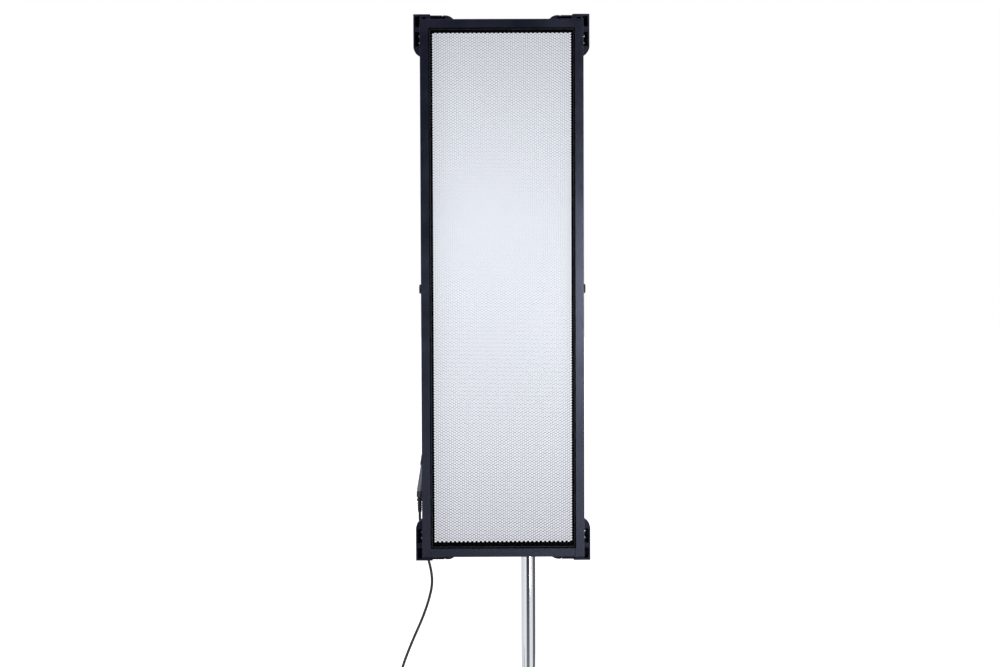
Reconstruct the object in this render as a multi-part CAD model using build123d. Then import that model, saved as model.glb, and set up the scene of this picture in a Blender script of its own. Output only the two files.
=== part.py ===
from build123d import *
import math
import os

# Tall LED soft light panel on its column. Millimetres. +X right, +Y to the rear, +Z up.
# The origin is on the column's axis, at the shoulder of the foot pin. The panel faces -Y.
# Panel coordinates: u is right of the panel's centre line, v is depth behind its front
# face, and w is height above its centre.

# ---- Placing -------------------------------------------------------------------------
PANEL_HEIGHT_ABOVE_FOOT = 1000.0
STUD_OFFSET = 62.5
COLUMN_TO_FRONT = 200.0

# ---- Fits ------------------------------------------------------------------------------
RUN_FIT = 0.05
SEAT_FIT = 0.02
MOVING_GAP = 0.3

# ---- Front frame -----------------------------------------------------------------------
FRAME_WIDTH = 385.0
FRAME_HEIGHT = 1270.0
FRAME_FACE = 22.0
FRAME_DEPTH = 30.0
FRAME_WALL = 2.5
FRAME_END_WALL = 3.0
FRAME_EDGE_RADIUS = 0.8
KEY_LENGTH = 30.0
FRAME_SCREW_RADIUS = 2.5
FRAME_SCREW_HEAD_RADIUS = 4.8
FRAME_SCREW_GRIP = 18.0

# ---- Casing ----------------------------------------------------------------------------
BODY_INSET = 1.5
BODY_WALL = 2.5
BODY_FLANGE = 16.0
BACK_THICKNESS = 3.0
BACK_SCREW_PITCH = 190.0
VENT_LENGTH = 44.0
VENT_WIDTH = 5.0
VENT_PITCH = 20.0
VENT_ROWS = 9
VENT_ROWS_TOP = 5
VENT_ABOVE_CENTRE = 150.0
VENT_BELOW_TOP = 145.0

# ---- Light chamber ---------------------------------------------------------------------
WINDOW_SIDE_MARGIN = 26.0
WINDOW_END_MARGIN = 28.0
DIFFUSER_RECESS = 57.0
RETAINER_THICKNESS = 3.0
DIFFUSER_THICKNESS = 3.0
CHAMBER_DEPTH = 15.0
CHAMBER_MARGIN = 6.0
REFLECTOR_WALL = 2.0
BOARD_THICKNESS = 1.6
BOARD_COUNT = 4
BOARD_GAP = 1.0
LED_COLUMNS = 6
LED_ROWS_PER_BOARD = 5
LED_SIDE = 5.0
LED_HEIGHT = 1.2
SINK_THICKNESS = 4.0
SINK_FIN_COUNT = 6
SINK_FIN_PITCH = 60.0
SINK_FIN_THICKNESS = 3.0
SINK_FIN_HEIGHT = 6.4

# ---- Louver ----------------------------------------------------------------------------
LOUVER_GAP = 0.5
LOUVER_RECESS = 4.0
LOUVER_DEPTH = 11.0
LOUVER_WALL = 1.2
LOUVER_LIP = 2.2
CORE_DEPTH = 7.0
CORE_CELL = 38.0
CORE_FOIL = 0.8

# ---- Corner brackets -------------------------------------------------------------------
BRACKET_PROUD = 16.5
BRACKET_END_PROUD = 13.7
BRACKET_LIP_LENGTH = 40.0
BRACKET_LEG = 99.0
BRACKET_ROUND_LENGTH = 23.0
BRACKET_DEPTH = 33.0
BRACKET_BEHIND = 2.0
BRACKET_RIM = 4.0
BRACKET_WEB = 2.5
BRACKET_FLOOR = 3.0
BRACKET_POCKET_START = 5.0
BRACKET_RIB_START = 30.0
BRACKET_RIB_WIDTH = 12.0
BRACKET_NOTCH_PLACE = 69.5
BRACKET_NOTCH_WIDTH = 2.5
BRACKET_NOTCH_DEPTH = 1.5
BRACKET_SCREW_PLACES = (52.0, 68.0)

# ---- Pan-head screws -------------------------------------------------------------------
SCREW_RADIUS = 2.0
SCREW_HEAD_RADIUS = 3.8
SCREW_HEAD_HEIGHT = 2.4
SCREW_LENGTH = 8.0
SCREW_RECESS_DEPTH = 1.0
SCREW_RECESS_RADIUS = 1.6

# ---- Side bosses -----------------------------------------------------------------------
BOSS_RADIUS = 11.0
BOSS_PROUD = 5.0
BOSS_CHAMFER = 1.2
BOSS_DEPTH_PLACE = 45.0
BOSS_TAIL_RADIUS = 7.5
BOSS_THREAD_RADIUS = 3.35
BOSS_THREAD_LENGTH = 16.0

# ---- Carry handles ---------------------------------------------------------------------
HANDLE_SPAN = 110.0
HANDLE_BAR_RADIUS = 6.0
HANDLE_REACH = 31.0
HANDLE_BEND = 14.0
HANDLE_FOOT_RADIUS = 11.0
HANDLE_FOOT_THICKNESS = 3.0
HANDLE_BELOW_TOP = 195.0
HANDLE_ABOVE_BOTTOM = 90.0

# ---- Centre mount ----------------------------------------------------------------------
MOUNT_PLATE_SIDE = 120.0
MOUNT_PLATE_THICKNESS = 6.0
MOUNT_PLATE_CORNER = 10.0
MOUNT_SCREW_INSET = 12.0
MOUNT_SCREW_RADIUS = 3.0
MOUNT_SCREW_HEAD_RADIUS = 5.2
MOUNT_SCREW_HEAD_HEIGHT = 3.3
MOUNT_BOSS_RADIUS = 6.5
RECEIVER_FLANGE_RADIUS = 38.0
RECEIVER_FLANGE_THICKNESS = 5.0
RECEIVER_RADIUS = 26.0
RECEIVER_LENGTH = 26.0
RECEIVER_FLOOR = 4.0
STUD_RADIUS = 8.0
STUD_FLANGE_RADIUS = 18.0
STUD_FLANGE_THICKNESS = 4.0
STUD_TAIL = 4.0
STUD_GROOVE_RADIUS = 6.2
STUD_GROOVE_WIDTH = 6.0
MOUNT_SCREW_RECESS_RADIUS = 1.5
MOUNT_SCREW_RECESS_DEPTH = 1.65
PLUNGER_RADIUS = 2.0
PLUNGER_KNOB_RADIUS = 9.0
PLUNGER_KNOB_HEIGHT = 14.0
PLUNGER_KNOB_NECK = 6.5

# ---- Grip head -------------------------------------------------------------------------
PIVOT_BELOW_STUD = 22.0
CLAMP_RADIUS = 32.0
CLAMP_THICKNESS = 12.0
CLAMP_GAP = 4.0
CLAMP_SMALL_GROOVE = 6.4
CLAMP_CHAMFER = 1.0
TILT_BOLT_RADIUS = 6.0
TILT_HUB_RADIUS = 14.0
TILT_HUB_LENGTH = 22.0
TILT_BAR_RADIUS = 5.0
TILT_BAR_LENGTH = 90.0
TILT_BAR_INSET = 6.0
HEAD_ARM_RADIUS = 26.0
HEAD_RADIUS = 22.0
HEAD_TOP_ABOVE_PIVOT = 25.0
HEAD_HEIGHT = 73.0
HEAD_ROOF = 5.0
HEAD_CHAMFER = 2.0
HEAD_LOCK_RADIUS = 4.0
HEAD_LOCK_BELOW_PIVOT = 20.0
HEAD_LOCK_HUB_RADIUS = 9.0
HEAD_LOCK_HUB_LENGTH = 16.0
HEAD_LOCK_NECK = 6.0
HEAD_LOCK_BAR_RADIUS = 4.0
HEAD_LOCK_BAR_LENGTH = 60.0
HEAD_LOCK_BAR_INSET = 5.0

# ---- Riser and column ------------------------------------------------------------------
RISER_PIN_RADIUS = 8.0
RISER_RADIUS = 15.0
RISER_WALL = 2.0
RISER_SHOULDER_RADIUS = 18.5
RISER_SHOULDER_HEIGHT = 29.4
RISER_CHAMFER = 1.5
RISER_LENGTH = 600.0
COLUMN_RADIUS = 17.5
COLUMN_WALL = 1.8
COLLAR_RADIUS = 26.0
COLLAR_ABOVE_COLUMN = 30.0
COLLAR_BELOW_TOP = 25.0
COLLAR_CHAMFER = 2.0
COLLAR_LOCK_RADIUS = 4.0
COLLAR_LOCK_NECK = 5.0
COLLAR_KNOB_RADIUS = 17.0
COLLAR_KNOB_LENGTH = 20.0
COLLAR_KNOB_LOBES = 6
COLLAR_KNOB_SCALLOP = 5.0
COLLAR_KNOB_SCALLOP_PLACE = 18.7
FOOT_PIN_RADIUS = 14.29
FOOT_PIN_LENGTH = 76.0
FOOT_PIN_CHAMFER = 2.0
FOOT_SHOULDER_RADIUS = 20.0
FOOT_SHOULDER_THICKNESS = 6.0
FOOT_PLUG_LENGTH = 50.0

# ---- Controller ------------------------------------------------------------------------
CONTROL_LEFT = -190.0
CONTROL_RIGHT = 160.0
CONTROL_BOTTOM = -425.0
CONTROL_TOP = -150.0
CONTROL_DEPTH = 30.0
CONTROL_WALL = 2.5
CONTROL_CORNER = 6.0
LID_THICKNESS = 3.0
LID_POST_RADIUS = 5.0
BOARD_PLACE = 14.0
BOARD_LEFT = -150.0
BOARD_RIGHT = 5.0
BOARD_BOTTOM = -335.0
BOARD_TOP = -185.0
BOARD_POST_RADIUS = 3.0
BOARD_POST_INSET = 6.0
SUPPLY_LEFT = 35.0
SUPPLY_WIDTH = 100.0
SUPPLY_BOTTOM = -395.0
SUPPLY_LENGTH = 170.0
SUPPLY_DEPTH = 26.0
SUPPLY_SHEET = 1.5
DISPLAY_PLACE = (-75.0, -215.0)
DISPLAY_WIDTH = 64.0
DISPLAY_HEIGHT = 34.0
DISPLAY_THICKNESS = 1.5
DISPLAY_MARGIN = 3.0
KNOB_PLACES = ((-120.0, -300.0), (-30.0, -300.0))
KNOB_RADIUS = 11.0
KNOB_LENGTH = 13.0
KNOB_BORE_DEPTH = 9.0
KNOB_CHAMFER = 1.0
KNOB_FLUTES = 12
KNOB_FLUTE_RADIUS = 1.4
ENCODER_SIDE = 12.0
ENCODER_HEIGHT = 6.0
ENCODER_SHAFT_RADIUS = 3.0
ENCODER_BUSH_RADIUS = 4.5
BUTTON_PLACES = ((-105.0, -258.0), (-75.0, -258.0), (-45.0, -258.0))
BUTTON_RADIUS = 5.0
BUTTON_PROUD = 3.0
BUTTON_FLANGE_RADIUS = 6.5
BUTTON_FLANGE_THICKNESS = 2.0
BUTTON_STEM_LENGTH = 5.0
BUTTON_STEM_RADIUS = 2.0
BUTTON_FILLET = 0.8
SWITCH_SIDE = 6.0
SWITCH_HEIGHT = 3.5
ROCKER_PLACE = (100.0, -190.0)
ROCKER_WIDTH = 13.0
ROCKER_LENGTH = 21.0
ROCKER_DEPTH = 8.0
ROCKER_CLEARANCE = 0.6
ROCKER_TILT = 7.0
ROCKER_FACET = 1.2
SOCKET_PLACES = (-60.0, -20.0)
SOCKET_RADIUS = 11.0
SOCKET_BORE_RADIUS = 8.0
SOCKET_FLANGE_RADIUS = 13.0
SOCKET_FLANGE_THICKNESS = 2.0
SOCKET_LENGTH = 20.0
SOCKET_FLOOR = 3.0

# ---- Lead ------------------------------------------------------------------------------
INLET_PLACE = (-189.5, -428.0)
INLET_LEAN = 8.4
INLET_BOSS_RADIUS = 10.5
INLET_BOSS_LENGTH = 24.0
INLET_BARREL_RADIUS = 8.0
INLET_FLANGE_RADIUS = 10.2
INLET_FLANGE_THICKNESS = 3.0
INLET_BARREL_LENGTH = 14.0
INLET_FLOOR = 3.0
NOSE_RADIUS = 6.5
NOSE_LENGTH = 10.0
PLUG_START_RADIUS = 8.6
PLUG_END_RADIUS = 9.5
PLUG_LENGTH = 60.0
PLUG_NECK_RADIUS = 7.8
PLUG_NECK_LENGTH = 2.0
COLLAR_START_RADIUS = 9.6
COLLAR_END_RADIUS = 7.8
PLUG_COLLAR_LENGTH = 15.0
BOOT_START_RADIUS = 6.0
BOOT_END_RADIUS = 3.6
BOOT_LENGTH = 36.0
BOOT_RIB_COUNT = 5
BOOT_RIB_THICKNESS = 2.6
BOOT_RIB_PROUD = 1.2
CORD_DIAMETER = 6.5
BEND_SHARE = 0.45
# The free stretch of the lead in panel coordinates (u, v, w), from below the boot's end.
CORD_ROUTE = (
    (-200.7, 105.0, -575.0),
    (-193.2, 105.6, -610.0),
    (-183.4, 106.6, -645.0),
    (-176.2, 107.4, -671.0),
    (-172.0, 107.8, -697.0),
    (-172.0, 107.6, -718.0),
    (-176.6, 107.0, -741.0),
    (-184.5, 106.2, -768.0),
    (-197.8, 105.4, -803.6),
    (-214.2, 104.8, -839.6),
    (-229.4, 104.4, -875.7),
    (-243.5, 104.4, -913.0),
    (-251.0, 104.8, -945.0),
    (-253.0, 105.0, -975.0),
)
COIL_RADIUS = 29.0
COIL_SECTION_RADIUS = 9.9
TIE_WIDTH = 14.0
TIE_THICKNESS = 1.4
TAIL_LENGTH = 36.0
END_PLUG_RADIUS = 8.5
END_PLUG_LENGTH = 46.0
END_PLUG_TAPER = 14.0
END_PLUG_NECK_RADIUS = 3.75
END_PLUG_BORE_RADIUS = 6.0
END_PLUG_BORE_DEPTH = 12.0

# ---- Derived places --------------------------------------------------------------------
PANEL_X = -STUD_OFFSET
PANEL_Z = PANEL_HEIGHT_ABOVE_FOOT
FRONT_Y = -COLUMN_TO_FRONT
HALF_WIDTH = FRAME_WIDTH / 2
HALF_HEIGHT = FRAME_HEIGHT / 2
OPENING_U = HALF_WIDTH - FRAME_FACE
OPENING_W = HALF_HEIGHT - FRAME_FACE
BODY_U = HALF_WIDTH - BODY_INSET
BODY_W = HALF_HEIGHT - BODY_INSET
INNER_U = BODY_U - BODY_WALL
INNER_W = BODY_W - BODY_WALL
CHAMBER_FRONT = DIFFUSER_RECESS + DIFFUSER_THICKNESS
BOARD_FRONT = CHAMBER_FRONT + CHAMBER_DEPTH
SINK_FRONT = BOARD_FRONT + BOARD_THICKNESS
SINK_BACK = SINK_FRONT + SINK_THICKNESS
CASE_BACK = SINK_BACK + SINK_FIN_HEIGHT
BODY_DEPTH = CASE_BACK + BACK_THICKNESS
WINDOW_U = HALF_WIDTH - WINDOW_SIDE_MARGIN
WINDOW_W = HALF_HEIGHT - WINDOW_END_MARGIN
CHAMBER_U = WINDOW_U + CHAMBER_MARGIN
CHAMBER_W = WINDOW_W + CHAMBER_MARGIN
VENT_FIELDS = ((VENT_ABOVE_CENTRE, VENT_ROWS), (HALF_HEIGHT - VENT_BELOW_TOP, VENT_ROWS_TOP))
BRACKET_U = HALF_WIDTH + BRACKET_PROUD
BRACKET_W = HALF_HEIGHT + BRACKET_PROUD
BRACKET_BACK = BODY_DEPTH + BRACKET_BEHIND
BRACKET_FRONT = BRACKET_BACK - BRACKET_DEPTH
HANDLE_UPPER_PLACE = HALF_HEIGHT - HANDLE_BELOW_TOP
HANDLE_LOWER_PLACE = HANDLE_ABOVE_BOTTOM - HALF_HEIGHT
MOUNT_BACK = BODY_DEPTH + MOUNT_PLATE_THICKNESS
RECEIVER_BACK = MOUNT_BACK + RECEIVER_LENGTH
PIVOT_Z = PANEL_Z - PIVOT_BELOW_STUD
STUD_X = PANEL_X
HEAD_FACE_X = STUD_X + CLAMP_GAP / 2 + CLAMP_THICKNESS + MOVING_GAP
HEAD_TOP_Z = PIVOT_Z + HEAD_TOP_ABOVE_PIVOT
HEAD_BOTTOM_Z = HEAD_TOP_Z - HEAD_HEIGHT
RISER_SHOULDER_TOP_Z = HEAD_BOTTOM_Z - MOVING_GAP
RISER_SHOULDER_BOTTOM_Z = RISER_SHOULDER_TOP_Z - RISER_SHOULDER_HEIGHT
COLLAR_TOP_Z = RISER_SHOULDER_BOTTOM_Z - MOVING_GAP
COLUMN_TOP_Z = COLLAR_TOP_Z - COLLAR_ABOVE_COLUMN
LID_FRONT = BODY_DEPTH + CONTROL_DEPTH
LID_BACK = LID_FRONT + LID_THICKNESS
BOARD_BACK = BODY_DEPTH + BOARD_PLACE + BOARD_THICKNESS
LEAD_DEPTH_PLACE = BODY_DEPTH + CONTROL_DEPTH / 2


# ---- Shape helpers ---------------------------------------------------------------------
def block(x_low, x_high, y_low, y_high, z_low, z_high):
    """A box between two corners."""
    size = Box(x_high - x_low, y_high - y_low, z_high - z_low)
    return Pos((x_low + x_high) / 2, (y_low + y_high) / 2, (z_low + z_high) / 2) * size


def panel_block(u_low, u_high, v_low, v_high, w_low, w_high):
    """A box between two corners in panel coordinates."""
    return block(
        PANEL_X + u_low,
        PANEL_X + u_high,
        FRONT_Y + v_low,
        FRONT_Y + v_high,
        PANEL_Z + w_low,
        PANEL_Z + w_high,
    )


def panel_point(u, v, w):
    """A point of the panel in the part's frame."""
    return Vector(PANEL_X + u, FRONT_Y + v, PANEL_Z + w)


def cone_between(start, end, start_radius, end_radius):
    """A round bar or cone from one point to another."""
    path = Vector(end) - Vector(start)
    place = Plane(origin=start, z_dir=path).location
    align = (Align.CENTER, Align.CENTER, Align.MIN)
    if abs(start_radius - end_radius) < SEAT_FIT:
        return place * Cylinder(start_radius, path.length, align=align)
    return place * Cone(start_radius, end_radius, path.length, align=align)


def rod(start, end, radius):
    """A round bar from one point to another."""
    return cone_between(start, end, radius, radius)


def panel_rod(u, w, v_start, v_end, radius):
    """A round bar that runs from front to rear through the panel."""
    return rod(panel_point(u, v_start, w), panel_point(u, v_end, w), radius)


def frame_plate(u_out, w_out, u_in, w_in, v_low, v_high):
    """A flat rectangular ring."""
    plate = panel_block(-u_out, u_out, v_low, v_high, -w_out, w_out)
    return plate - panel_block(-u_in, u_in, v_low, v_high, -w_in, w_in)


def pan_screw(seat, direction, length):
    """A pan-head screw whose head sits on seat and whose shank points along direction."""
    inward = Vector(direction)
    head_top = seat - inward * SCREW_HEAD_HEIGHT
    head = rod(seat, head_top, SCREW_HEAD_RADIUS)
    rim = head.edges().filter_by(GeomType.CIRCLE).sort_by_distance(head_top)[0]
    head = fillet(rim, SCREW_HEAD_HEIGHT / 2)
    recess = rod(head_top, head_top + inward * SCREW_RECESS_DEPTH, SCREW_RECESS_RADIUS)
    return head + rod(seat, seat + inward * length, SCREW_RADIUS) - recess


def screw_hole(seat, direction, length):
    """The clear hole of a pan-head screw."""
    return rod(seat, seat + Vector(direction) * length, SCREW_RADIUS + SEAT_FIT)


def both(place):
    """The same place on both sides of the panel's centre line."""
    return (-place, place)


# ---- Front frame -----------------------------------------------------------------------
def frame_screw_axes():
    """Seat, direction and length of the four countersunk frame screws."""
    axes = []
    for side in (-1, 1):
        for end in (-1, 1):
            seat = panel_point(side * HALF_WIDTH, FRAME_DEPTH / 2, end * (HALF_HEIGHT - FRAME_FACE / 2))
            axes.append((seat, Vector(-side, 0, 0)))
    return axes


def frame_screw(seat, inward, slack):
    """A countersunk screw, or its hole where slack is given."""
    neck = seat + inward * FRAME_WALL
    tip = seat + inward * (FRAME_FACE + FRAME_SCREW_GRIP)
    head = cone_between(seat, neck, FRAME_SCREW_HEAD_RADIUS + slack, FRAME_SCREW_RADIUS + slack)
    return head + rod(neck, tip, FRAME_SCREW_RADIUS + slack)


def make_frame_stiles():
    stiles = []
    for side in both(HALF_WIDTH - FRAME_FACE / 2):
        outer = panel_block(
            side - FRAME_FACE / 2, side + FRAME_FACE / 2, 0, FRAME_DEPTH, -HALF_HEIGHT, HALF_HEIGHT
        )
        outer = fillet(outer.edges().filter_by(Axis.Z), FRAME_EDGE_RADIUS)
        hollow = panel_block(
            side - FRAME_FACE / 2 + FRAME_WALL,
            side + FRAME_FACE / 2 - FRAME_WALL,
            FRAME_WALL,
            FRAME_DEPTH - FRAME_WALL,
            -HALF_HEIGHT + FRAME_END_WALL,
            HALF_HEIGHT - FRAME_END_WALL,
        )
        stile = outer - hollow
        for seat, inward in frame_screw_axes():
            stile -= frame_screw(seat, inward, SEAT_FIT)
        stiles.append(stile)
    return stiles


def make_frame_rails():
    rails = []
    for end in both(HALF_HEIGHT - FRAME_FACE / 2):
        outer = panel_block(
            -OPENING_U, OPENING_U, 0, FRAME_DEPTH, end - FRAME_FACE / 2, end + FRAME_FACE / 2
        )
        outer = fillet(outer.edges().filter_by(Axis.X), FRAME_EDGE_RADIUS)
        hollow = panel_block(
            -OPENING_U,
            OPENING_U,
            FRAME_WALL,
            FRAME_DEPTH - FRAME_WALL,
            end - FRAME_FACE / 2 + FRAME_WALL,
            end + FRAME_FACE / 2 - FRAME_WALL,
        )
        rails.append(outer - hollow)
    return rails


def make_frame_corner_keys():
    keys = []
    for side in (-1, 1):
        for end in both(HALF_HEIGHT - FRAME_FACE / 2):
            near = side * OPENING_U
            far = side * (OPENING_U - KEY_LENGTH)
            key = panel_block(
                min(near, far),
                max(near, far),
                FRAME_WALL,
                FRAME_DEPTH - FRAME_WALL,
                end - FRAME_FACE / 2 + FRAME_WALL,
                end + FRAME_FACE / 2 - FRAME_WALL,
            )
            for seat, inward in frame_screw_axes():
                key -= frame_screw(seat, inward, SEAT_FIT)
            keys.append(key)
    return keys


def make_frame_screws():
    return [frame_screw(seat, inward, 0) for seat, inward in frame_screw_axes()]


# ---- Casing ----------------------------------------------------------------------------
def bracket_screw_axes():
    """Seat and direction of the screws that hold the corner brackets to the casing."""
    middle = (BRACKET_FRONT + BRACKET_BACK - BRACKET_FLOOR) / 2
    axes = []
    for side in (-1, 1):
        for end in (-1, 1):
            for place in BRACKET_SCREW_PLACES:
                on_side = panel_point(side * (BODY_U + BRACKET_WEB), middle, end * (BRACKET_W - place))
                on_end = panel_point(side * (BRACKET_U - place), middle, end * (BODY_W + BRACKET_WEB))
                axes.append((on_side, Vector(-side, 0, 0)))
                axes.append((on_end, Vector(0, 0, -end)))
    return axes


def back_screw_places():
    """Places in u and w of the screws around the back panel."""
    inset = BODY_FLANGE / 2
    side_rows = int((BODY_W - BODY_FLANGE) // BACK_SCREW_PITCH)
    rows = [index * BACK_SCREW_PITCH for index in range(-side_rows, side_rows + 1)]
    places = [(side * (BODY_U - inset), row) for side in (-1, 1) for row in rows]
    places += [(0, end * (BODY_W - inset)) for end in (-1, 1)]
    return places


def cut_bracket_screws(shape):
    return shape - [screw_hole(seat, inward, SCREW_LENGTH) for seat, inward in bracket_screw_axes()]


def cut_back_screws(shape):
    places = [panel_point(u, BODY_DEPTH, w) for u, w in back_screw_places()]
    return shape - [screw_hole(place, (0, -1, 0), SCREW_LENGTH) for place in places]


def make_body_side_walls():
    walls = []
    for side in (-1, 1):
        edges = sorted((side * INNER_U, side * BODY_U))
        flange = sorted((side * (BODY_U - BODY_FLANGE), side * BODY_U))
        wall = panel_block(*edges, FRAME_DEPTH, CASE_BACK, -BODY_W, BODY_W)
        wall += panel_block(*flange, FRAME_DEPTH, FRAME_DEPTH + BODY_WALL, -BODY_W, BODY_W)
        wall += panel_block(*flange, CASE_BACK - BODY_WALL, CASE_BACK, -BODY_W, BODY_W)
        outer = side * (BODY_U + BODY_WALL)
        wall -= rod(
            panel_point(outer, BOSS_DEPTH_PLACE, 0),
            panel_point(side * (INNER_U - BODY_WALL), BOSS_DEPTH_PLACE, 0),
            BOSS_TAIL_RADIUS + SEAT_FIT,
        )
        walls.append(cut_back_screws(cut_bracket_screws(wall)))
    return walls


def make_body_end_walls():
    walls = []
    flange_u = BODY_U - BODY_FLANGE
    for end in (-1, 1):
        edges = sorted((end * INNER_W, end * BODY_W))
        flange = sorted((end * (BODY_W - BODY_FLANGE), end * BODY_W))
        wall = panel_block(-INNER_U, INNER_U, FRAME_DEPTH + BODY_WALL, CASE_BACK - BODY_WALL, *edges)
        wall += panel_block(-flange_u, flange_u, FRAME_DEPTH, FRAME_DEPTH + BODY_WALL, *flange)
        wall += panel_block(-flange_u, flange_u, CASE_BACK - BODY_WALL, CASE_BACK, *flange)
        walls.append(cut_back_screws(cut_bracket_screws(wall)))
    return walls


def vent_places():
    """Centres in u and w of the ventilation slots, one between each pair of fins."""
    places = []
    for start, rows in VENT_FIELDS:
        for row in range(rows):
            for column in range(SINK_FIN_COUNT - 1):
                u = (column - (SINK_FIN_COUNT - 2) / 2) * SINK_FIN_PITCH
                places.append((u, start + row * VENT_PITCH))
    return places


def make_back_panel():
    sheet = Rectangle(2 * BODY_U, 2 * BODY_W)
    slots = Sketch() + [Pos(u, w) * SlotOverall(VENT_LENGTH, VENT_WIDTH) for u, w in vent_places()]
    place = Plane(origin=panel_point(0, BODY_DEPTH, 0), x_dir=(1, 0, 0), z_dir=(0, -1, 0))
    panel = extrude(place * (sheet - slots), amount=BACK_THICKNESS)
    for u, w in mount_screw_places():
        panel -= panel_rod(u, w, CASE_BACK, BODY_DEPTH, MOUNT_SCREW_RADIUS + SEAT_FIT)
    return cut_back_screws(panel)


def make_panel_screws():
    screws = [pan_screw(seat, inward, SCREW_LENGTH) for seat, inward in bracket_screw_axes()]
    for u, w in back_screw_places():
        screws.append(pan_screw(panel_point(u, BODY_DEPTH, w), (0, -1, 0), SCREW_LENGTH))
    for u, w in lid_screw_places():
        screws.append(pan_screw(panel_point(u, LID_BACK, w), (0, -1, 0), SCREW_LENGTH))
    return screws


def make_side_bosses():
    bosses = []
    for side in (-1, 1):
        face = panel_point(side * (HALF_WIDTH + BOSS_PROUD), BOSS_DEPTH_PLACE, 0)
        seat = panel_point(side * BODY_U, BOSS_DEPTH_PLACE, 0)
        tail = face - Vector(side * BOSS_THREAD_LENGTH, 0, 0)
        head = rod(seat, face, BOSS_RADIUS)
        head = chamfer(head.edges().filter_by(GeomType.CIRCLE).sort_by_distance(face)[0], BOSS_CHAMFER)
        boss = head + rod(seat, tail, BOSS_TAIL_RADIUS)
        bosses.append(boss - rod(face, tail, BOSS_THREAD_RADIUS))
    return bosses


# ---- Light chamber ---------------------------------------------------------------------
def make_diffuser_retainer():
    front = DIFFUSER_RECESS - RETAINER_THICKNESS
    return frame_plate(INNER_U, INNER_W, WINDOW_U, WINDOW_W, front, DIFFUSER_RECESS)


def make_diffuser_sheet():
    return panel_block(-INNER_U, INNER_U, DIFFUSER_RECESS, CHAMBER_FRONT, -INNER_W, INNER_W)


def make_reflector_walls():
    outer_u = CHAMBER_U + REFLECTOR_WALL
    outer_w = CHAMBER_W + REFLECTOR_WALL
    return frame_plate(outer_u, outer_w, CHAMBER_U, CHAMBER_W, CHAMBER_FRONT, BOARD_FRONT)


def led_package(u, w):
    half = LED_SIDE / 2
    return panel_block(u - half, u + half, BOARD_FRONT - LED_HEIGHT, BOARD_FRONT, w - half, w + half)


def make_led_boards():
    outer_u = CHAMBER_U + REFLECTOR_WALL
    outer_w = CHAMBER_W + REFLECTOR_WALL
    board_height = (2 * outer_w - (BOARD_COUNT - 1) * BOARD_GAP) / BOARD_COUNT
    column_pitch = 2 * CHAMBER_U / LED_COLUMNS
    row_pitch = board_height / LED_ROWS_PER_BOARD
    pieces = []
    for number in range(BOARD_COUNT):
        low = -outer_w + number * (board_height + BOARD_GAP)
        board = panel_block(-outer_u, outer_u, BOARD_FRONT, SINK_FRONT, low, low + board_height)
        leds = []
        for column in range(LED_COLUMNS):
            for row in range(LED_ROWS_PER_BOARD):
                u = (column - (LED_COLUMNS - 1) / 2) * column_pitch
                w = low + (row + 0.5) * row_pitch
                leds.append(led_package(u, w))
        pieces.append(board + leds)
    return pieces


def make_heatsink_plate():
    plate = panel_block(-INNER_U, INNER_U, SINK_FRONT, SINK_BACK, -INNER_W, INNER_W)
    fin_w = BODY_W - BODY_FLANGE
    for number in range(SINK_FIN_COUNT):
        u = (number - (SINK_FIN_COUNT - 1) / 2) * SINK_FIN_PITCH
        plate += panel_block(
            u - SINK_FIN_THICKNESS / 2, u + SINK_FIN_THICKNESS / 2, SINK_BACK, CASE_BACK, -fin_w, fin_w
        )
    for u, w in mount_screw_places():
        plate += panel_rod(u, w, SINK_BACK, CASE_BACK, MOUNT_BOSS_RADIUS)
        plate -= panel_rod(u, w, SINK_FRONT, CASE_BACK, MOUNT_SCREW_RADIUS + SEAT_FIT)
    return cut_back_screws(cut_bracket_screws(plate))


# ---- Louver ----------------------------------------------------------------------------
def make_louver_border():
    outer_u = OPENING_U - LOUVER_GAP
    outer_w = OPENING_W - LOUVER_GAP
    back = LOUVER_RECESS + LOUVER_DEPTH
    core_front = LOUVER_RECESS + (LOUVER_DEPTH - CORE_DEPTH) / 2
    band = frame_plate(
        outer_u, outer_w, outer_u - LOUVER_WALL, outer_w - LOUVER_WALL, LOUVER_RECESS, back
    )
    lip_u = outer_u - LOUVER_LIP
    lip_w = outer_w - LOUVER_LIP
    band += frame_plate(outer_u, outer_w, lip_u, lip_w, core_front - LOUVER_WALL, core_front)
    core_back = core_front + CORE_DEPTH
    return band + frame_plate(outer_u, outer_w, lip_u, lip_w, core_back, core_back + LOUVER_WALL)


def core_cell_places():
    """Centres of the cells of a flat honeycomb with upright columns."""
    column_pitch = CORE_CELL * math.sqrt(3) / 2
    columns = math.ceil(OPENING_U / column_pitch)
    rows = math.ceil(OPENING_W / CORE_CELL)
    places = []
    for column in range(-columns, columns + 1):
        shift = CORE_CELL / 2 if column % 2 else 0.0
        for row in range(-rows - 1, rows + 1):
            places.append((column * column_pitch, row * CORE_CELL + shift))
    return places


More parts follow.
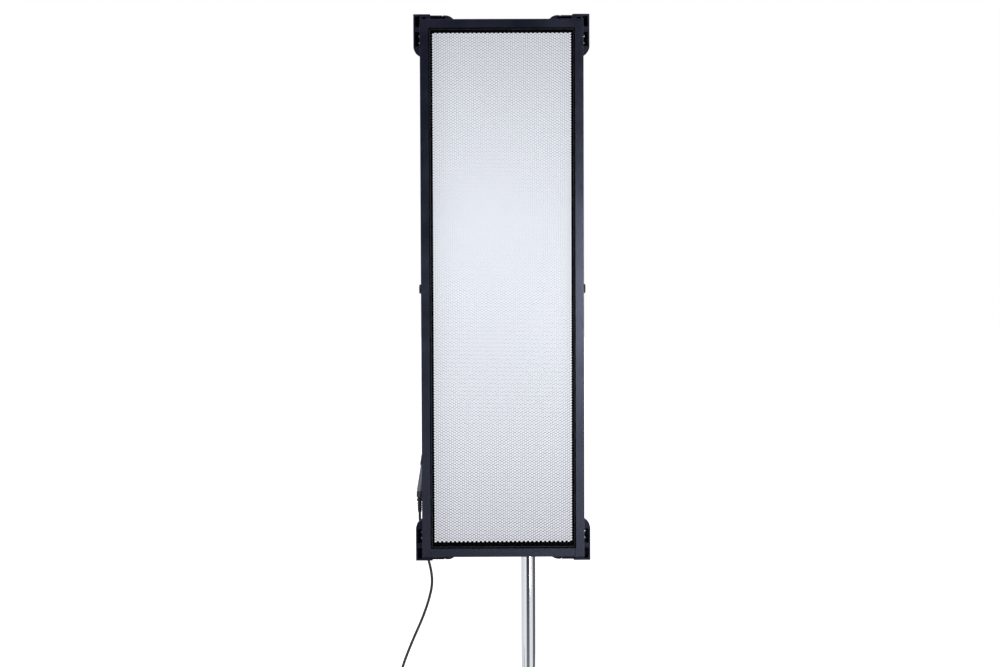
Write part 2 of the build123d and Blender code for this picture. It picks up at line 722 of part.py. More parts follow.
def make_louver_core():
    core_u = OPENING_U - LOUVER_GAP - LOUVER_WALL
    core_w = OPENING_W - LOUVER_GAP - LOUVER_WALL
    inner_u = core_u - CORE_FOIL
    inner_w = core_w - CORE_FOIL
    cell_radius = (CORE_CELL - CORE_FOIL) / math.sqrt(3)
    reach = CORE_CELL / 2
    inner = Rectangle(2 * inner_u, 2 * inner_w)
    cells = []
    for u, w in core_cell_places():
        cell = Pos(u, w) * RegularPolygon(cell_radius, 6)
        if abs(u) + cell_radius > inner_u or abs(w) + reach > inner_w:
            cell = cell & inner
        for face in cell.faces() if cell else []:
            if face.area > CORE_FOIL * CORE_CELL:
                cells.append(face.outer_wire())
    front = LOUVER_RECESS + (LOUVER_DEPTH - CORE_DEPTH) / 2
    place = Plane(origin=panel_point(0, front + CORE_DEPTH, 0), x_dir=(1, 0, 0), z_dir=(0, -1, 0))
    outline = Rectangle(2 * core_u, 2 * core_w)
    return extrude(place * Face(outline.face().outer_wire(), cells), amount=CORE_DEPTH)


# ---- Corner brackets -------------------------------------------------------------------
def round_end(length, drop):
    """Radius of the arc that leaves an outer edge smoothly and falls by drop over length."""
    return (length**2 + drop**2) / (2 * drop)


def bracket_outline():
    """Outline in u and w of the upper right bracket, as one face on the front plane."""
    main_w = HALF_HEIGHT + BRACKET_END_PROUD
    lip_u = BRACKET_U - BRACKET_LIP_LENGTH
    tip_u = BRACKET_U - BRACKET_LEG
    tip_w = BRACKET_W - BRACKET_LEG
    top_radius = round_end(BRACKET_ROUND_LENGTH, main_w - BODY_W)
    side_radius = round_end(BRACKET_ROUND_LENGTH, BRACKET_U - BODY_U)
    notch_left = BRACKET_U - BRACKET_NOTCH_PLACE - BRACKET_NOTCH_WIDTH / 2
    notch_right = notch_left + BRACKET_NOTCH_WIDTH
    notch_w = main_w - BRACKET_NOTCH_DEPTH
    start = (tip_u, BODY_W)
    top = (tip_u + BRACKET_ROUND_LENGTH, main_w)
    side = (BRACKET_U, tip_w + BRACKET_ROUND_LENGTH)
    end = (BODY_U, tip_w)
    corners = [
        top,
        (notch_left, main_w),
        (notch_left, notch_w),
        (notch_right, notch_w),
        (notch_right, main_w),
        (lip_u, main_w),
        (lip_u, BRACKET_W),
        (BRACKET_U, BRACKET_W),
        side,
    ]
    edges = [RadiusArc(start, top, top_radius)]
    edges += list(Polyline(*corners).edges())
    edges.append(RadiusArc(side, end, side_radius))
    edges += list(Polyline(end, (BODY_U, BODY_W), start).edges())
    return make_face(Curve(edges).edges())


def bracket_pockets():
    """Low and high corners in u and w of the pockets in the upper right bracket."""
    rib_end = BRACKET_RIB_START + BRACKET_RIB_WIDTH
    slot_end = BRACKET_LEG - BRACKET_ROUND_LENGTH
    web_u = BODY_U + BRACKET_WEB
    web_w = BODY_W + BRACKET_WEB
    rim_u = BRACKET_U - BRACKET_RIM
    rim_w = HALF_HEIGHT + BRACKET_END_PROUD - BRACKET_RIM
    return [
        (web_u, rim_u, BRACKET_W - BRACKET_RIB_START, BRACKET_W - BRACKET_POCKET_START),
        (web_u, rim_u, BRACKET_W - slot_end, BRACKET_W - rib_end),
        (BRACKET_U - BRACKET_RIB_START, BODY_U - BRACKET_WEB, web_w, rim_w),
        (BRACKET_U - slot_end, BRACKET_U - rib_end, web_w, rim_w),
    ]


def make_corner_bracket(side, end):
    """A bracket for one corner; side and end are -1 or 1."""
    origin = panel_point(0, BRACKET_BACK, 0)
    place = Plane(origin=origin, x_dir=(1, 0, 0), z_dir=(0, -1, 0))
    bracket = extrude(place * bracket_outline(), amount=BRACKET_BACK - BRACKET_FRONT)
    for u_low, u_high, w_low, w_high in bracket_pockets():
        pocket_back = BRACKET_BACK - BRACKET_FLOOR
        bracket -= panel_block(u_low, u_high, BRACKET_FRONT, pocket_back, w_low, w_high)
    if side < 0:
        bracket = mirror(bracket, about=Plane.YZ.offset(PANEL_X))
    if end < 0:
        bracket = mirror(bracket, about=Plane.XY.offset(PANEL_Z))
    return cut_bracket_screws(bracket)


# ---- Carry handles ---------------------------------------------------------------------
def make_carry_handle(place):
    """A bent bar on two round feet on the back panel."""
    half = HANDLE_SPAN / 2
    foot = BODY_DEPTH + HANDLE_FOOT_THICKNESS
    reach = BODY_DEPTH + HANDLE_REACH
    points = [
        panel_point(-half, foot, place),
        panel_point(-half, reach, place),
        panel_point(half, reach, place),
        panel_point(half, foot, place),
    ]
    path = FilletPolyline(*points, radius=HANDLE_BEND)
    section = Plane(origin=points[0], z_dir=(0, 1, 0)) * Circle(HANDLE_BAR_RADIUS)
    handle = sweep(section, path=path)
    for u in both(half):
        handle += panel_rod(u, place, BODY_DEPTH, foot, HANDLE_FOOT_RADIUS)
    return handle


# ---- Centre mount ----------------------------------------------------------------------
def mount_screw_places():
    reach = MOUNT_PLATE_SIDE / 2 - MOUNT_SCREW_INSET
    return [(u, w) for u in both(reach) for w in both(reach)]


def make_mount_plate():
    half = MOUNT_PLATE_SIDE / 2
    plate = panel_block(-half, half, BODY_DEPTH, MOUNT_BACK, -half, half)
    plate = fillet(plate.edges().filter_by(Axis.Y), MOUNT_PLATE_CORNER)
    for u, w in mount_screw_places():
        plate -= panel_rod(u, w, BODY_DEPTH, MOUNT_BACK, MOUNT_SCREW_RADIUS + SEAT_FIT)
    return plate


def make_mount_screws():
    screws = []
    for u, w in mount_screw_places():
        top = MOUNT_BACK + MOUNT_SCREW_HEAD_HEIGHT
        head = panel_rod(u, w, MOUNT_BACK, top, MOUNT_SCREW_HEAD_RADIUS)
        shank = panel_rod(u, w, SINK_FRONT, MOUNT_BACK, MOUNT_SCREW_RADIUS)
        recess = panel_rod(u, w, top - MOUNT_SCREW_RECESS_DEPTH, top, MOUNT_SCREW_RECESS_RADIUS)
        screws.append(head + shank - recess)
    return screws


def plunger_depth():
    """Depth of the plunger, half-way along the receiver's bore."""
    return MOUNT_BACK + RECEIVER_FLOOR + (RECEIVER_LENGTH - RECEIVER_FLOOR) / 2


def make_mount_receiver():
    flange_back = MOUNT_BACK + RECEIVER_FLANGE_THICKNESS
    receiver = panel_rod(0, 0, MOUNT_BACK, flange_back, RECEIVER_FLANGE_RADIUS)
    receiver += panel_rod(0, 0, MOUNT_BACK, RECEIVER_BACK, RECEIVER_RADIUS)
    receiver -= panel_rod(0, 0, MOUNT_BACK + RECEIVER_FLOOR, RECEIVER_BACK, STUD_RADIUS + RUN_FIT)
    depth = plunger_depth()
    return receiver - rod(
        panel_point(0, depth, 0), panel_point(0, depth, RECEIVER_RADIUS), PLUNGER_RADIUS + RUN_FIT
    )


def make_mount_lock_knob():
    depth = plunger_depth()
    knob_low = RECEIVER_RADIUS + MOVING_GAP
    neck_top = knob_low + PLUNGER_KNOB_HEIGHT / 2
    knob_top = knob_low + PLUNGER_KNOB_HEIGHT
    tip = STUD_GROOVE_RADIUS + MOVING_GAP
    pin = rod(panel_point(0, depth, tip), panel_point(0, depth, knob_low), PLUNGER_RADIUS)
    neck = rod(panel_point(0, depth, knob_low), panel_point(0, depth, neck_top), PLUNGER_KNOB_NECK)
    knob = rod(panel_point(0, depth, neck_top), panel_point(0, depth, knob_top), PLUNGER_KNOB_RADIUS)
    return pin + neck + knob


def make_mount_stud():
    front = FRONT_Y + MOUNT_BACK + RECEIVER_FLOOR + MOVING_GAP
    rear = CLAMP_RADIUS + STUD_TAIL
    flange_front = FRONT_Y + RECEIVER_BACK + MOVING_GAP
    groove = FRONT_Y + plunger_depth()
    stud = rod(Vector(STUD_X, front, PANEL_Z), Vector(STUD_X, rear, PANEL_Z), STUD_RADIUS)
    stud += rod(
        Vector(STUD_X, flange_front, PANEL_Z),
        Vector(STUD_X, flange_front + STUD_FLANGE_THICKNESS, PANEL_Z),
        STUD_FLANGE_RADIUS,
    )
    start = Vector(STUD_X, groove - STUD_GROOVE_WIDTH / 2, PANEL_Z)
    end = Vector(STUD_X, groove + STUD_GROOVE_WIDTH / 2, PANEL_Z)
    return stud - (rod(start, end, STUD_FLANGE_RADIUS) - rod(start, end, STUD_GROOVE_RADIUS))


# ---- Grip head -------------------------------------------------------------------------
def make_clamp_plate(side):
    """One of the two clamp plates; side is 1 next to the head and -1 under the handle."""
    near = STUD_X + side * CLAMP_GAP / 2
    far = near + side * CLAMP_THICKNESS
    plate = rod(Vector(near, 0, PIVOT_Z), Vector(far, 0, PIVOT_Z), CLAMP_RADIUS)
    plate = chamfer(plate.edges().filter_by(GeomType.CIRCLE), CLAMP_CHAMFER)
    low = PIVOT_Z - PIVOT_BELOW_STUD
    for height, radius in ((PANEL_Z, STUD_RADIUS + SEAT_FIT), (low, CLAMP_SMALL_GROOVE)):
        start = Vector(STUD_X, -CLAMP_RADIUS, height)
        plate -= rod(start, Vector(STUD_X, CLAMP_RADIUS, height), radius)
    return plate - rod(Vector(near, 0, PIVOT_Z), Vector(far, 0, PIVOT_Z), TILT_BOLT_RADIUS + RUN_FIT)


def tilt_bolt_end():
    """X of the tilt bolt's inner end, inside the head's arm."""
    return -HEAD_RADIUS


def make_tilt_handle():
    hub_near = STUD_X - CLAMP_GAP / 2 - CLAMP_THICKNESS - MOVING_GAP
    hub_far = hub_near - TILT_HUB_LENGTH
    bar_x = hub_far + TILT_BAR_INSET
    handle = rod(Vector(hub_far, 0, PIVOT_Z), Vector(hub_near, 0, PIVOT_Z), TILT_HUB_RADIUS)
    handle += rod(Vector(hub_near, 0, PIVOT_Z), Vector(tilt_bolt_end(), 0, PIVOT_Z), TILT_BOLT_RADIUS)
    reach = TILT_BAR_LENGTH / 2
    return handle + rod(
        Vector(bar_x, 0, PIVOT_Z - reach), Vector(bar_x, 0, PIVOT_Z + reach), TILT_BAR_RADIUS
    )


def make_head_body():
    bottom = Vector(0, 0, HEAD_BOTTOM_Z)
    top = Vector(0, 0, HEAD_TOP_Z)
    head = rod(bottom, top, HEAD_RADIUS)
    head = chamfer(head.edges().filter_by(GeomType.CIRCLE), HEAD_CHAMFER)
    head += rod(Vector(HEAD_FACE_X, 0, PIVOT_Z), Vector(0, 0, PIVOT_Z), HEAD_ARM_RADIUS)
    head -= rod(bottom, Vector(0, 0, HEAD_TOP_Z - HEAD_ROOF), RISER_PIN_RADIUS + RUN_FIT)
    bolt_bore = rod(
        Vector(HEAD_FACE_X, 0, PIVOT_Z),
        Vector(tilt_bolt_end() + MOVING_GAP, 0, PIVOT_Z),
        TILT_BOLT_RADIUS + RUN_FIT,
    )
    lock_z = PIVOT_Z - HEAD_LOCK_BELOW_PIVOT
    lock_bore = rod(Vector(0, 0, lock_z), Vector(0, HEAD_ARM_RADIUS, lock_z), HEAD_LOCK_RADIUS + RUN_FIT)
    return head - bolt_bore - lock_bore


def make_head_lock_handle():
    lock_z = PIVOT_Z - HEAD_LOCK_BELOW_PIVOT
    tip = RISER_PIN_RADIUS + MOVING_GAP
    hub_front = HEAD_RADIUS + HEAD_LOCK_NECK
    hub_back = hub_front + HEAD_LOCK_HUB_LENGTH
    bar_y = hub_back - HEAD_LOCK_BAR_INSET
    reach = HEAD_LOCK_BAR_LENGTH / 2
    handle = rod(Vector(0, tip, lock_z), Vector(0, hub_front, lock_z), HEAD_LOCK_RADIUS)
    handle += rod(Vector(0, hub_front, lock_z), Vector(0, hub_back, lock_z), HEAD_LOCK_HUB_RADIUS)
    return handle + rod(Vector(-reach, bar_y, lock_z), Vector(reach, bar_y, lock_z), HEAD_LOCK_BAR_RADIUS)


# ---- Riser and column ------------------------------------------------------------------
def make_riser_tube():
    bottom = RISER_SHOULDER_BOTTOM_Z - RISER_LENGTH
    pin_top = HEAD_TOP_Z - HEAD_ROOF - MOVING_GAP
    shoulder = rod(
        Vector(0, 0, RISER_SHOULDER_BOTTOM_Z), Vector(0, 0, RISER_SHOULDER_TOP_Z), RISER_SHOULDER_RADIUS
    )
    shoulder = chamfer(shoulder.edges().filter_by(GeomType.CIRCLE), RISER_CHAMFER)
    tube = rod(Vector(0, 0, bottom), Vector(0, 0, RISER_SHOULDER_BOTTOM_Z), RISER_RADIUS)
    tube -= rod(
        Vector(0, 0, bottom), Vector(0, 0, RISER_SHOULDER_BOTTOM_Z), RISER_RADIUS - RISER_WALL
    )
    pin = rod(Vector(0, 0, RISER_SHOULDER_TOP_Z), Vector(0, 0, pin_top), RISER_PIN_RADIUS)
    return tube + shoulder + pin


def make_column_tube():
    bottom = Vector(0, 0, FOOT_SHOULDER_THICKNESS)
    top = Vector(0, 0, COLUMN_TOP_Z)
    return rod(bottom, top, COLUMN_RADIUS) - rod(bottom, top, COLUMN_RADIUS - COLUMN_WALL)


def collar_lock_z():
    return COLUMN_TOP_Z + COLLAR_ABOVE_COLUMN / 2


def make_column_collar():
    bottom = Vector(0, 0, COLUMN_TOP_Z - COLLAR_BELOW_TOP)
    rim = Vector(0, 0, COLUMN_TOP_Z)
    top = Vector(0, 0, COLLAR_TOP_Z)
    collar = rod(bottom, top, COLLAR_RADIUS)
    collar = chamfer(collar.edges().filter_by(GeomType.CIRCLE), COLLAR_CHAMFER)
    collar -= rod(bottom, rim, COLUMN_RADIUS + SEAT_FIT)
    collar -= rod(rim, top, RISER_RADIUS + RUN_FIT)
    lock_z = collar_lock_z()
    lock_bore = rod(Vector(0, 0, lock_z), Vector(0, COLLAR_RADIUS, lock_z), COLLAR_LOCK_RADIUS + RUN_FIT)
    return collar - lock_bore


def make_collar_lock_knob():
    lock_z = collar_lock_z()
    front = COLLAR_RADIUS + COLLAR_LOCK_NECK
    back = front + COLLAR_KNOB_LENGTH
    shank = rod(Vector(0, RISER_RADIUS + MOVING_GAP, lock_z), Vector(0, front, lock_z), COLLAR_LOCK_RADIUS)
    knob = rod(Vector(0, front, lock_z), Vector(0, back, lock_z), COLLAR_KNOB_RADIUS)
    for lobe in range(COLLAR_KNOB_LOBES):
        angle = 2 * math.pi * lobe / COLLAR_KNOB_LOBES
        x = COLLAR_KNOB_SCALLOP_PLACE * math.cos(angle)
        z = lock_z + COLLAR_KNOB_SCALLOP_PLACE * math.sin(angle)
        knob -= rod(Vector(x, front, z), Vector(x, back, z), COLLAR_KNOB_SCALLOP)
    return shank + knob


def make_foot_spigot():
    shoulder_top = Vector(0, 0, FOOT_SHOULDER_THICKNESS)
    plug_top = Vector(0, 0, FOOT_SHOULDER_THICKNESS + FOOT_PLUG_LENGTH)
    pin_end = Vector(0, 0, -FOOT_PIN_LENGTH)
    pin = rod(Vector(0, 0, 0), pin_end, FOOT_PIN_RADIUS)
    pin = chamfer(pin.edges().filter_by(GeomType.CIRCLE).sort_by(Axis.Z)[0], FOOT_PIN_CHAMFER)
    spigot = pin + rod(Vector(0, 0, 0), shoulder_top, FOOT_SHOULDER_RADIUS)
    return spigot + rod(shoulder_top, plug_top, COLUMN_RADIUS - COLUMN_WALL - SEAT_FIT)


# ---- Controller ------------------------------------------------------------------------
def lid_screw_places():
    """Places in u and w of the lid's screws, whose posts grow out of the side walls."""
    inset = CONTROL_WALL / 2 + LID_POST_RADIUS
    left = CONTROL_LEFT + inset
    right = CONTROL_RIGHT - inset
    top = CONTROL_TOP - inset
    bottom = CONTROL_BOTTOM + inset + INLET_BOSS_LENGTH
    middle = (left + right) / 2
    return [(left, top), (middle, top), (right, top), (left, bottom), (right, bottom)]


def inlet_point(distance):
    """A point on the lead connector's axis, at a distance beyond the inlet's mouth."""
    lean = math.radians(INLET_LEAN)
    u = INLET_PLACE[0] - distance * math.sin(lean)
    w = INLET_PLACE[1] - distance * math.cos(lean)
    return panel_point(u, LEAD_DEPTH_PLACE, w)


def make_controller_housing():
    outer = panel_block(CONTROL_LEFT, CONTROL_RIGHT, BODY_DEPTH, LID_FRONT, CONTROL_BOTTOM, CONTROL_TOP)
    outer = fillet(outer.edges().filter_by(Axis.Y), CONTROL_CORNER)
    boss_start = inlet_point(-INLET_FLANGE_THICKNESS - INLET_BOSS_LENGTH)
    boss_end = inlet_point(-INLET_FLANGE_THICKNESS)
    inner = panel_block(
        CONTROL_LEFT + CONTROL_WALL,
        CONTROL_RIGHT - CONTROL_WALL,
        BODY_DEPTH,
        LID_FRONT,
        CONTROL_BOTTOM + CONTROL_WALL,
        CONTROL_TOP - CONTROL_WALL,
    )
    housing = outer - inner + rod(boss_start, boss_end, INLET_BOSS_RADIUS)
    housing -= rod(boss_start, boss_end, INLET_BARREL_RADIUS + SEAT_FIT)
    for u, w in lid_screw_places():
        housing += panel_rod(u, w, BODY_DEPTH, LID_FRONT, LID_POST_RADIUS)
        housing -= screw_hole(panel_point(u, LID_BACK, w), (0, -1, 0), SCREW_LENGTH)
    for u in SOCKET_PLACES:
        housing -= socket_rod(u, -SOCKET_LENGTH, SOCKET_FLANGE_THICKNESS, SOCKET_RADIUS + SEAT_FIT)
    return housing


def socket_rod(u, start, end, radius):
    """A round bar on a control socket's axis, by distances below the housing."""
    depth = BODY_DEPTH + CONTROL_DEPTH / 2
    high = panel_point(u, depth, CONTROL_BOTTOM - start)
    low = panel_point(u, depth, CONTROL_BOTTOM - end)
    return rod(high, low, radius)


def make_dmx_sockets():
    sockets = []
    for u in SOCKET_PLACES:
        barrel = socket_rod(u, -SOCKET_LENGTH, 0, SOCKET_RADIUS)
        barrel += socket_rod(u, 0, SOCKET_FLANGE_THICKNESS, SOCKET_FLANGE_RADIUS)
        bore = socket_rod(u, SOCKET_FLOOR - SOCKET_LENGTH, SOCKET_FLANGE_THICKNESS, SOCKET_BORE_RADIUS)
        sockets.append(barrel - bore)
    return sockets


def make_controller_lid():
    lid = panel_block(CONTROL_LEFT, CONTROL_RIGHT, LID_FRONT, LID_BACK, CONTROL_BOTTOM, CONTROL_TOP)
    lid = fillet(lid.edges().filter_by(Axis.Y), CONTROL_CORNER)
    for u, w in lid_screw_places():
        lid -= screw_hole(panel_point(u, LID_BACK, w), (0, -1, 0), SCREW_LENGTH)
    for u, w in KNOB_PLACES:
        lid -= panel_rod(u, w, LID_FRONT, LID_BACK, ENCODER_BUSH_RADIUS + SEAT_FIT)
    for u, w in BUTTON_PLACES:
        lid -= panel_rod(u, w, LID_FRONT, LID_BACK, BUTTON_RADIUS + MOVING_GAP)
    u, w = DISPLAY_PLACE
    half_u = DISPLAY_WIDTH / 2 - DISPLAY_MARGIN
    half_w = DISPLAY_HEIGHT / 2 - DISPLAY_MARGIN
    lid -= panel_block(u - half_u, u + half_u, LID_FRONT, LID_BACK, w - half_w, w + half_w)
    u, w = ROCKER_PLACE
    half_u = ROCKER_WIDTH / 2 + ROCKER_CLEARANCE
    half_w = ROCKER_LENGTH / 2 + ROCKER_CLEARANCE
    return lid - panel_block(u - half_u, u + half_u, LID_FRONT, LID_BACK, w - half_w, w + half_w)


def make_display_window():
    u, w = DISPLAY_PLACE
    half_u = DISPLAY_WIDTH / 2
    half_w = DISPLAY_HEIGHT / 2
    front = LID_FRONT - DISPLAY_THICKNESS
    return panel_block(u - half_u, u + half_u, front, LID_FRONT, w - half_w, w + half_w)


def make_control_board():
    front = BODY_DEPTH + BOARD_PLACE
    board = panel_block(BOARD_LEFT, BOARD_RIGHT, front, BOARD_BACK, BOARD_BOTTOM, BOARD_TOP)
    for u in (BOARD_LEFT + BOARD_POST_INSET, BOARD_RIGHT - BOARD_POST_INSET):
        for w in (BOARD_BOTTOM + BOARD_POST_INSET, BOARD_TOP - BOARD_POST_INSET):
            board += panel_rod(u, w, BODY_DEPTH, front, BOARD_POST_RADIUS)
    half = SWITCH_SIDE / 2
    for u, w in BUTTON_PLACES:
        switch_back = BOARD_BACK + SWITCH_HEIGHT
        board += panel_block(u - half, u + half, BOARD_BACK, switch_back, w - half, w + half)
    return board


def make_power_supply():
    right = SUPPLY_LEFT + SUPPLY_WIDTH
    top = SUPPLY_BOTTOM + SUPPLY_LENGTH
    back = BODY_DEPTH + SUPPLY_DEPTH
    case = panel_block(SUPPLY_LEFT, right, BODY_DEPTH, back, SUPPLY_BOTTOM, top)
    return case - panel_block(
        SUPPLY_LEFT + SUPPLY_SHEET,
        right - SUPPLY_SHEET,
        BODY_DEPTH,
        back - SUPPLY_SHEET,
        SUPPLY_BOTTOM + SUPPLY_SHEET,
        top - SUPPLY_SHEET,
    )


def make_encoder_pair():
    encoders = []
    half = ENCODER_SIDE / 2
    case_back = BOARD_BACK + ENCODER_HEIGHT
    shaft_end = LID_BACK + KNOB_BORE_DEPTH
    for u, w in KNOB_PLACES:
        encoder = panel_block(u - half, u + half, BOARD_BACK, case_back, w - half, w + half)
        encoder += panel_rod(u, w, case_back, LID_BACK, ENCODER_BUSH_RADIUS)
        encoder += panel_rod(u, w, LID_BACK, shaft_end, ENCODER_SHAFT_RADIUS)
        encoders.append(encoder)
    return encoders


def make_knob(place):
    """A fluted knob on its encoder's shaft."""
    u, w = place
    front = LID_BACK + MOVING_GAP
    back = front + KNOB_LENGTH
    knob = panel_rod(u, w, front, back, KNOB_RADIUS)
    knob = chamfer(knob.edges().filter_by(GeomType.CIRCLE).sort_by(Axis.Y)[-1], KNOB_CHAMFER)
    for flute in range(KNOB_FLUTES):
        angle = 2 * math.pi * (flute + 0.5) / KNOB_FLUTES
        flute_u = u + KNOB_RADIUS * math.cos(angle)
        flute_w = w + KNOB_RADIUS * math.sin(angle)
        knob -= panel_rod(flute_u, flute_w, front, back, KNOB_FLUTE_RADIUS)
    return knob - panel_rod(u, w, front, front + KNOB_BORE_DEPTH, ENCODER_SHAFT_RADIUS + RUN_FIT)


def make_button(place):
    """A push button with the flange that keeps it behind the lid."""
    u, w = place
    flange_back = LID_FRONT - MOVING_GAP
    flange_front = flange_back - BUTTON_FLANGE_THICKNESS
    button = panel_rod(u, w, flange_front, LID_BACK + BUTTON_PROUD, BUTTON_RADIUS)
    button = fillet(button.edges().filter_by(GeomType.CIRCLE).sort_by(Axis.Y)[-1], BUTTON_FILLET)
    button += panel_rod(u, w, flange_front, flange_back, BUTTON_FLANGE_RADIUS)
    stem_front = flange_front - BUTTON_STEM_LENGTH
    return button + panel_rod(u, w, stem_front, flange_front, BUTTON_STEM_RADIUS)


def make_power_rocker():
    """A rocker with two facets, resting with its upper half pressed."""
    u, w = ROCKER_PLACE
    half = ROCKER_LENGTH / 2
    back = LID_BACK + ROCKER_FACET
    front = back - ROCKER_DEPTH
    middle = (LID_FRONT + LID_BACK) / 2
    profile = [(front, -half), (back, -half), (back - ROCKER_FACET, 0), (back, half), (front, half)]
    start = u - ROCKER_WIDTH / 2
    wire = Polyline(*[panel_point(start, v, w + along) for v, along in profile], close=True)
    rocker = extrude(make_face(wire.edges()), amount=ROCKER_WIDTH, dir=(1, 0, 0))
    pivot = Axis(panel_point(u, middle, w), (1, 0, 0))
    return rocker.rotate(pivot, ROCKER_TILT)


# ---- Lead ------------------------------------------------------------------------------
def make_lead_inlet():
    mouth = inlet_point(0)
    shoulder = inlet_point(-INLET_FLANGE_THICKNESS)
    floor = inlet_point(-INLET_BARREL_LENGTH)
    inlet = rod(mouth, shoulder, INLET_FLANGE_RADIUS) + rod(shoulder, floor, INLET_BARREL_RADIUS)
    return inlet - rod(mouth, inlet_point(INLET_FLOOR - INLET_BARREL_LENGTH), NOSE_RADIUS + SEAT_FIT)


def make_lead_connector():
    body = cone_between(inlet_point(0), inlet_point(PLUG_LENGTH), PLUG_START_RADIUS, PLUG_END_RADIUS)
    body += rod(inlet_point(-NOSE_LENGTH), inlet_point(0), NOSE_RADIUS)
    neck_end = inlet_point(PLUG_LENGTH + PLUG_NECK_LENGTH)
    return body + rod(inlet_point(PLUG_LENGTH), neck_end, PLUG_NECK_RADIUS)


def make_connector_collar():
    start = PLUG_LENGTH + PLUG_NECK_LENGTH
    end = start + PLUG_COLLAR_LENGTH
    return cone_between(inlet_point(start), inlet_point(end), COLLAR_START_RADIUS, COLLAR_END_RADIUS)


def boot_top():
    """Where the upright boot's axis meets the collar's end face."""
    return inlet_point(PLUG_LENGTH + PLUG_NECK_LENGTH + PLUG_COLLAR_LENGTH)


def make_cable_boot():
    top = boot_top()
    raised = top + Vector(0, 0, BOOT_START_RADIUS)
    low = top - Vector(0, 0, BOOT_LENGTH)
    boot = rod(raised, top, BOOT_START_RADIUS) + cone_between(top, low, BOOT_START_RADIUS, BOOT_END_RADIUS)
    pitch = BOOT_LENGTH / (BOOT_RIB_COUNT + 1)
    taper = (BOOT_START_RADIUS - BOOT_END_RADIUS) / BOOT_LENGTH
    for number in range(1, BOOT_RIB_COUNT + 1):
        distance = number * pitch
        radius = BOOT_START_RADIUS - taper * distance + BOOT_RIB_PROUD
        rib_top = top - Vector(0, 0, distance - BOOT_RIB_THICKNESS / 2)
        boot += rod(rib_top, rib_top - Vector(0, 0, BOOT_RIB_THICKNESS), radius)
    lean = math.radians(INLET_LEAN)
    collar_end = Plane(origin=top, z_dir=(-math.sin(lean), 0, -math.cos(lean)))
    return split(boot, bisect_by=collar_end, keep=Keep.TOP)


def cord_points():
    """The lead's route from the boot's end to its coil."""
    start = boot_top() - Vector(0, 0, BOOT_LENGTH)
    route = [panel_point(u, v, w) for u, v, w in CORD_ROUTE]
    route[0] = Vector(start.X, start.Y, route[0].Z)
    return [start] + route


def bend_radii(points):
    """The largest arc that each corner's two runs allow."""
    radii = []
    for before, corner, after in zip(points, points[1:], points[2:]):
        run_in = corner - before
        run_out = after - corner
        turn = math.radians(run_in.get_angle(run_out))
        radii.append(BEND_SHARE * min(run_in.length, run_out.length) / math.tan(turn / 2))
    return radii


def coil_centre():
    u, v, w = CORD_ROUTE[-1]
    return panel_point(u + COIL_RADIUS, v, w)


def make_coil_ring(section_radius):
    place = Plane(origin=coil_centre(), z_dir=(0, 1, 0)).location
    return place * Torus(COIL_RADIUS, section_radius)


def make_lead_cord():
    points = cord_points()
    radii = bend_radii(points)
    print("lead bend radii, mm:", [round(radius) for radius in radii])
    path = FilletPolyline(*points, radius=radii)
    section = Plane(origin=points[0], z_dir=points[1] - points[0]) * Circle(CORD_DIAMETER / 2)
    cord = sweep(section, path=path)
    print("lead volume over section times length:", cord.volume / (section.area * path.length))
    print("lead length to the coil, mm:", round(path.length))
    return cord - make_coil_ring(COIL_SECTION_RADIUS)


def make_lead_coil():
    return make_coil_ring(COIL_SECTION_RADIUS)


def make_coil_tie():
    centre = coil_centre()
    band = make_coil_ring(COIL_SECTION_RADIUS + TIE_THICKNESS) - make_coil_ring(COIL_SECTION_RADIUS)
    reach = COIL_SECTION_RADIUS + TIE_THICKNESS
    slice_block = block(
        centre.X - TIE_WIDTH / 2,
        centre.X + TIE_WIDTH / 2,
        centre.Y - reach,
        centre.Y + reach,
        centre.Z,
        centre.Z + COIL_RADIUS + reach,
    )
    return band & slice_block


def tail_end():
    u, v, w = CORD_ROUTE[-1]
    return panel_point(u, v, w - TAIL_LENGTH)


def make_lead_tail():
    tail = rod(panel_point(*CORD_ROUTE[-1]), tail_end(), CORD_DIAMETER / 2)
    return tail - make_coil_ring(COIL_SECTION_RADIUS)


def make_lead_end_connector():
    start = tail_end()
    shoulder = start - Vector(0, 0, END_PLUG_TAPER)
    end = start - Vector(0, 0, END_PLUG_LENGTH)
    plug = cone_between(start, shoulder, END_PLUG_NECK_RADIUS, END_PLUG_RADIUS)
    plug += rod(shoulder, end, END_PLUG_RADIUS)
    return plug - rod(end, end + Vector(0, 0, END_PLUG_BORE_DEPTH), END_PLUG_BORE_RADIUS)


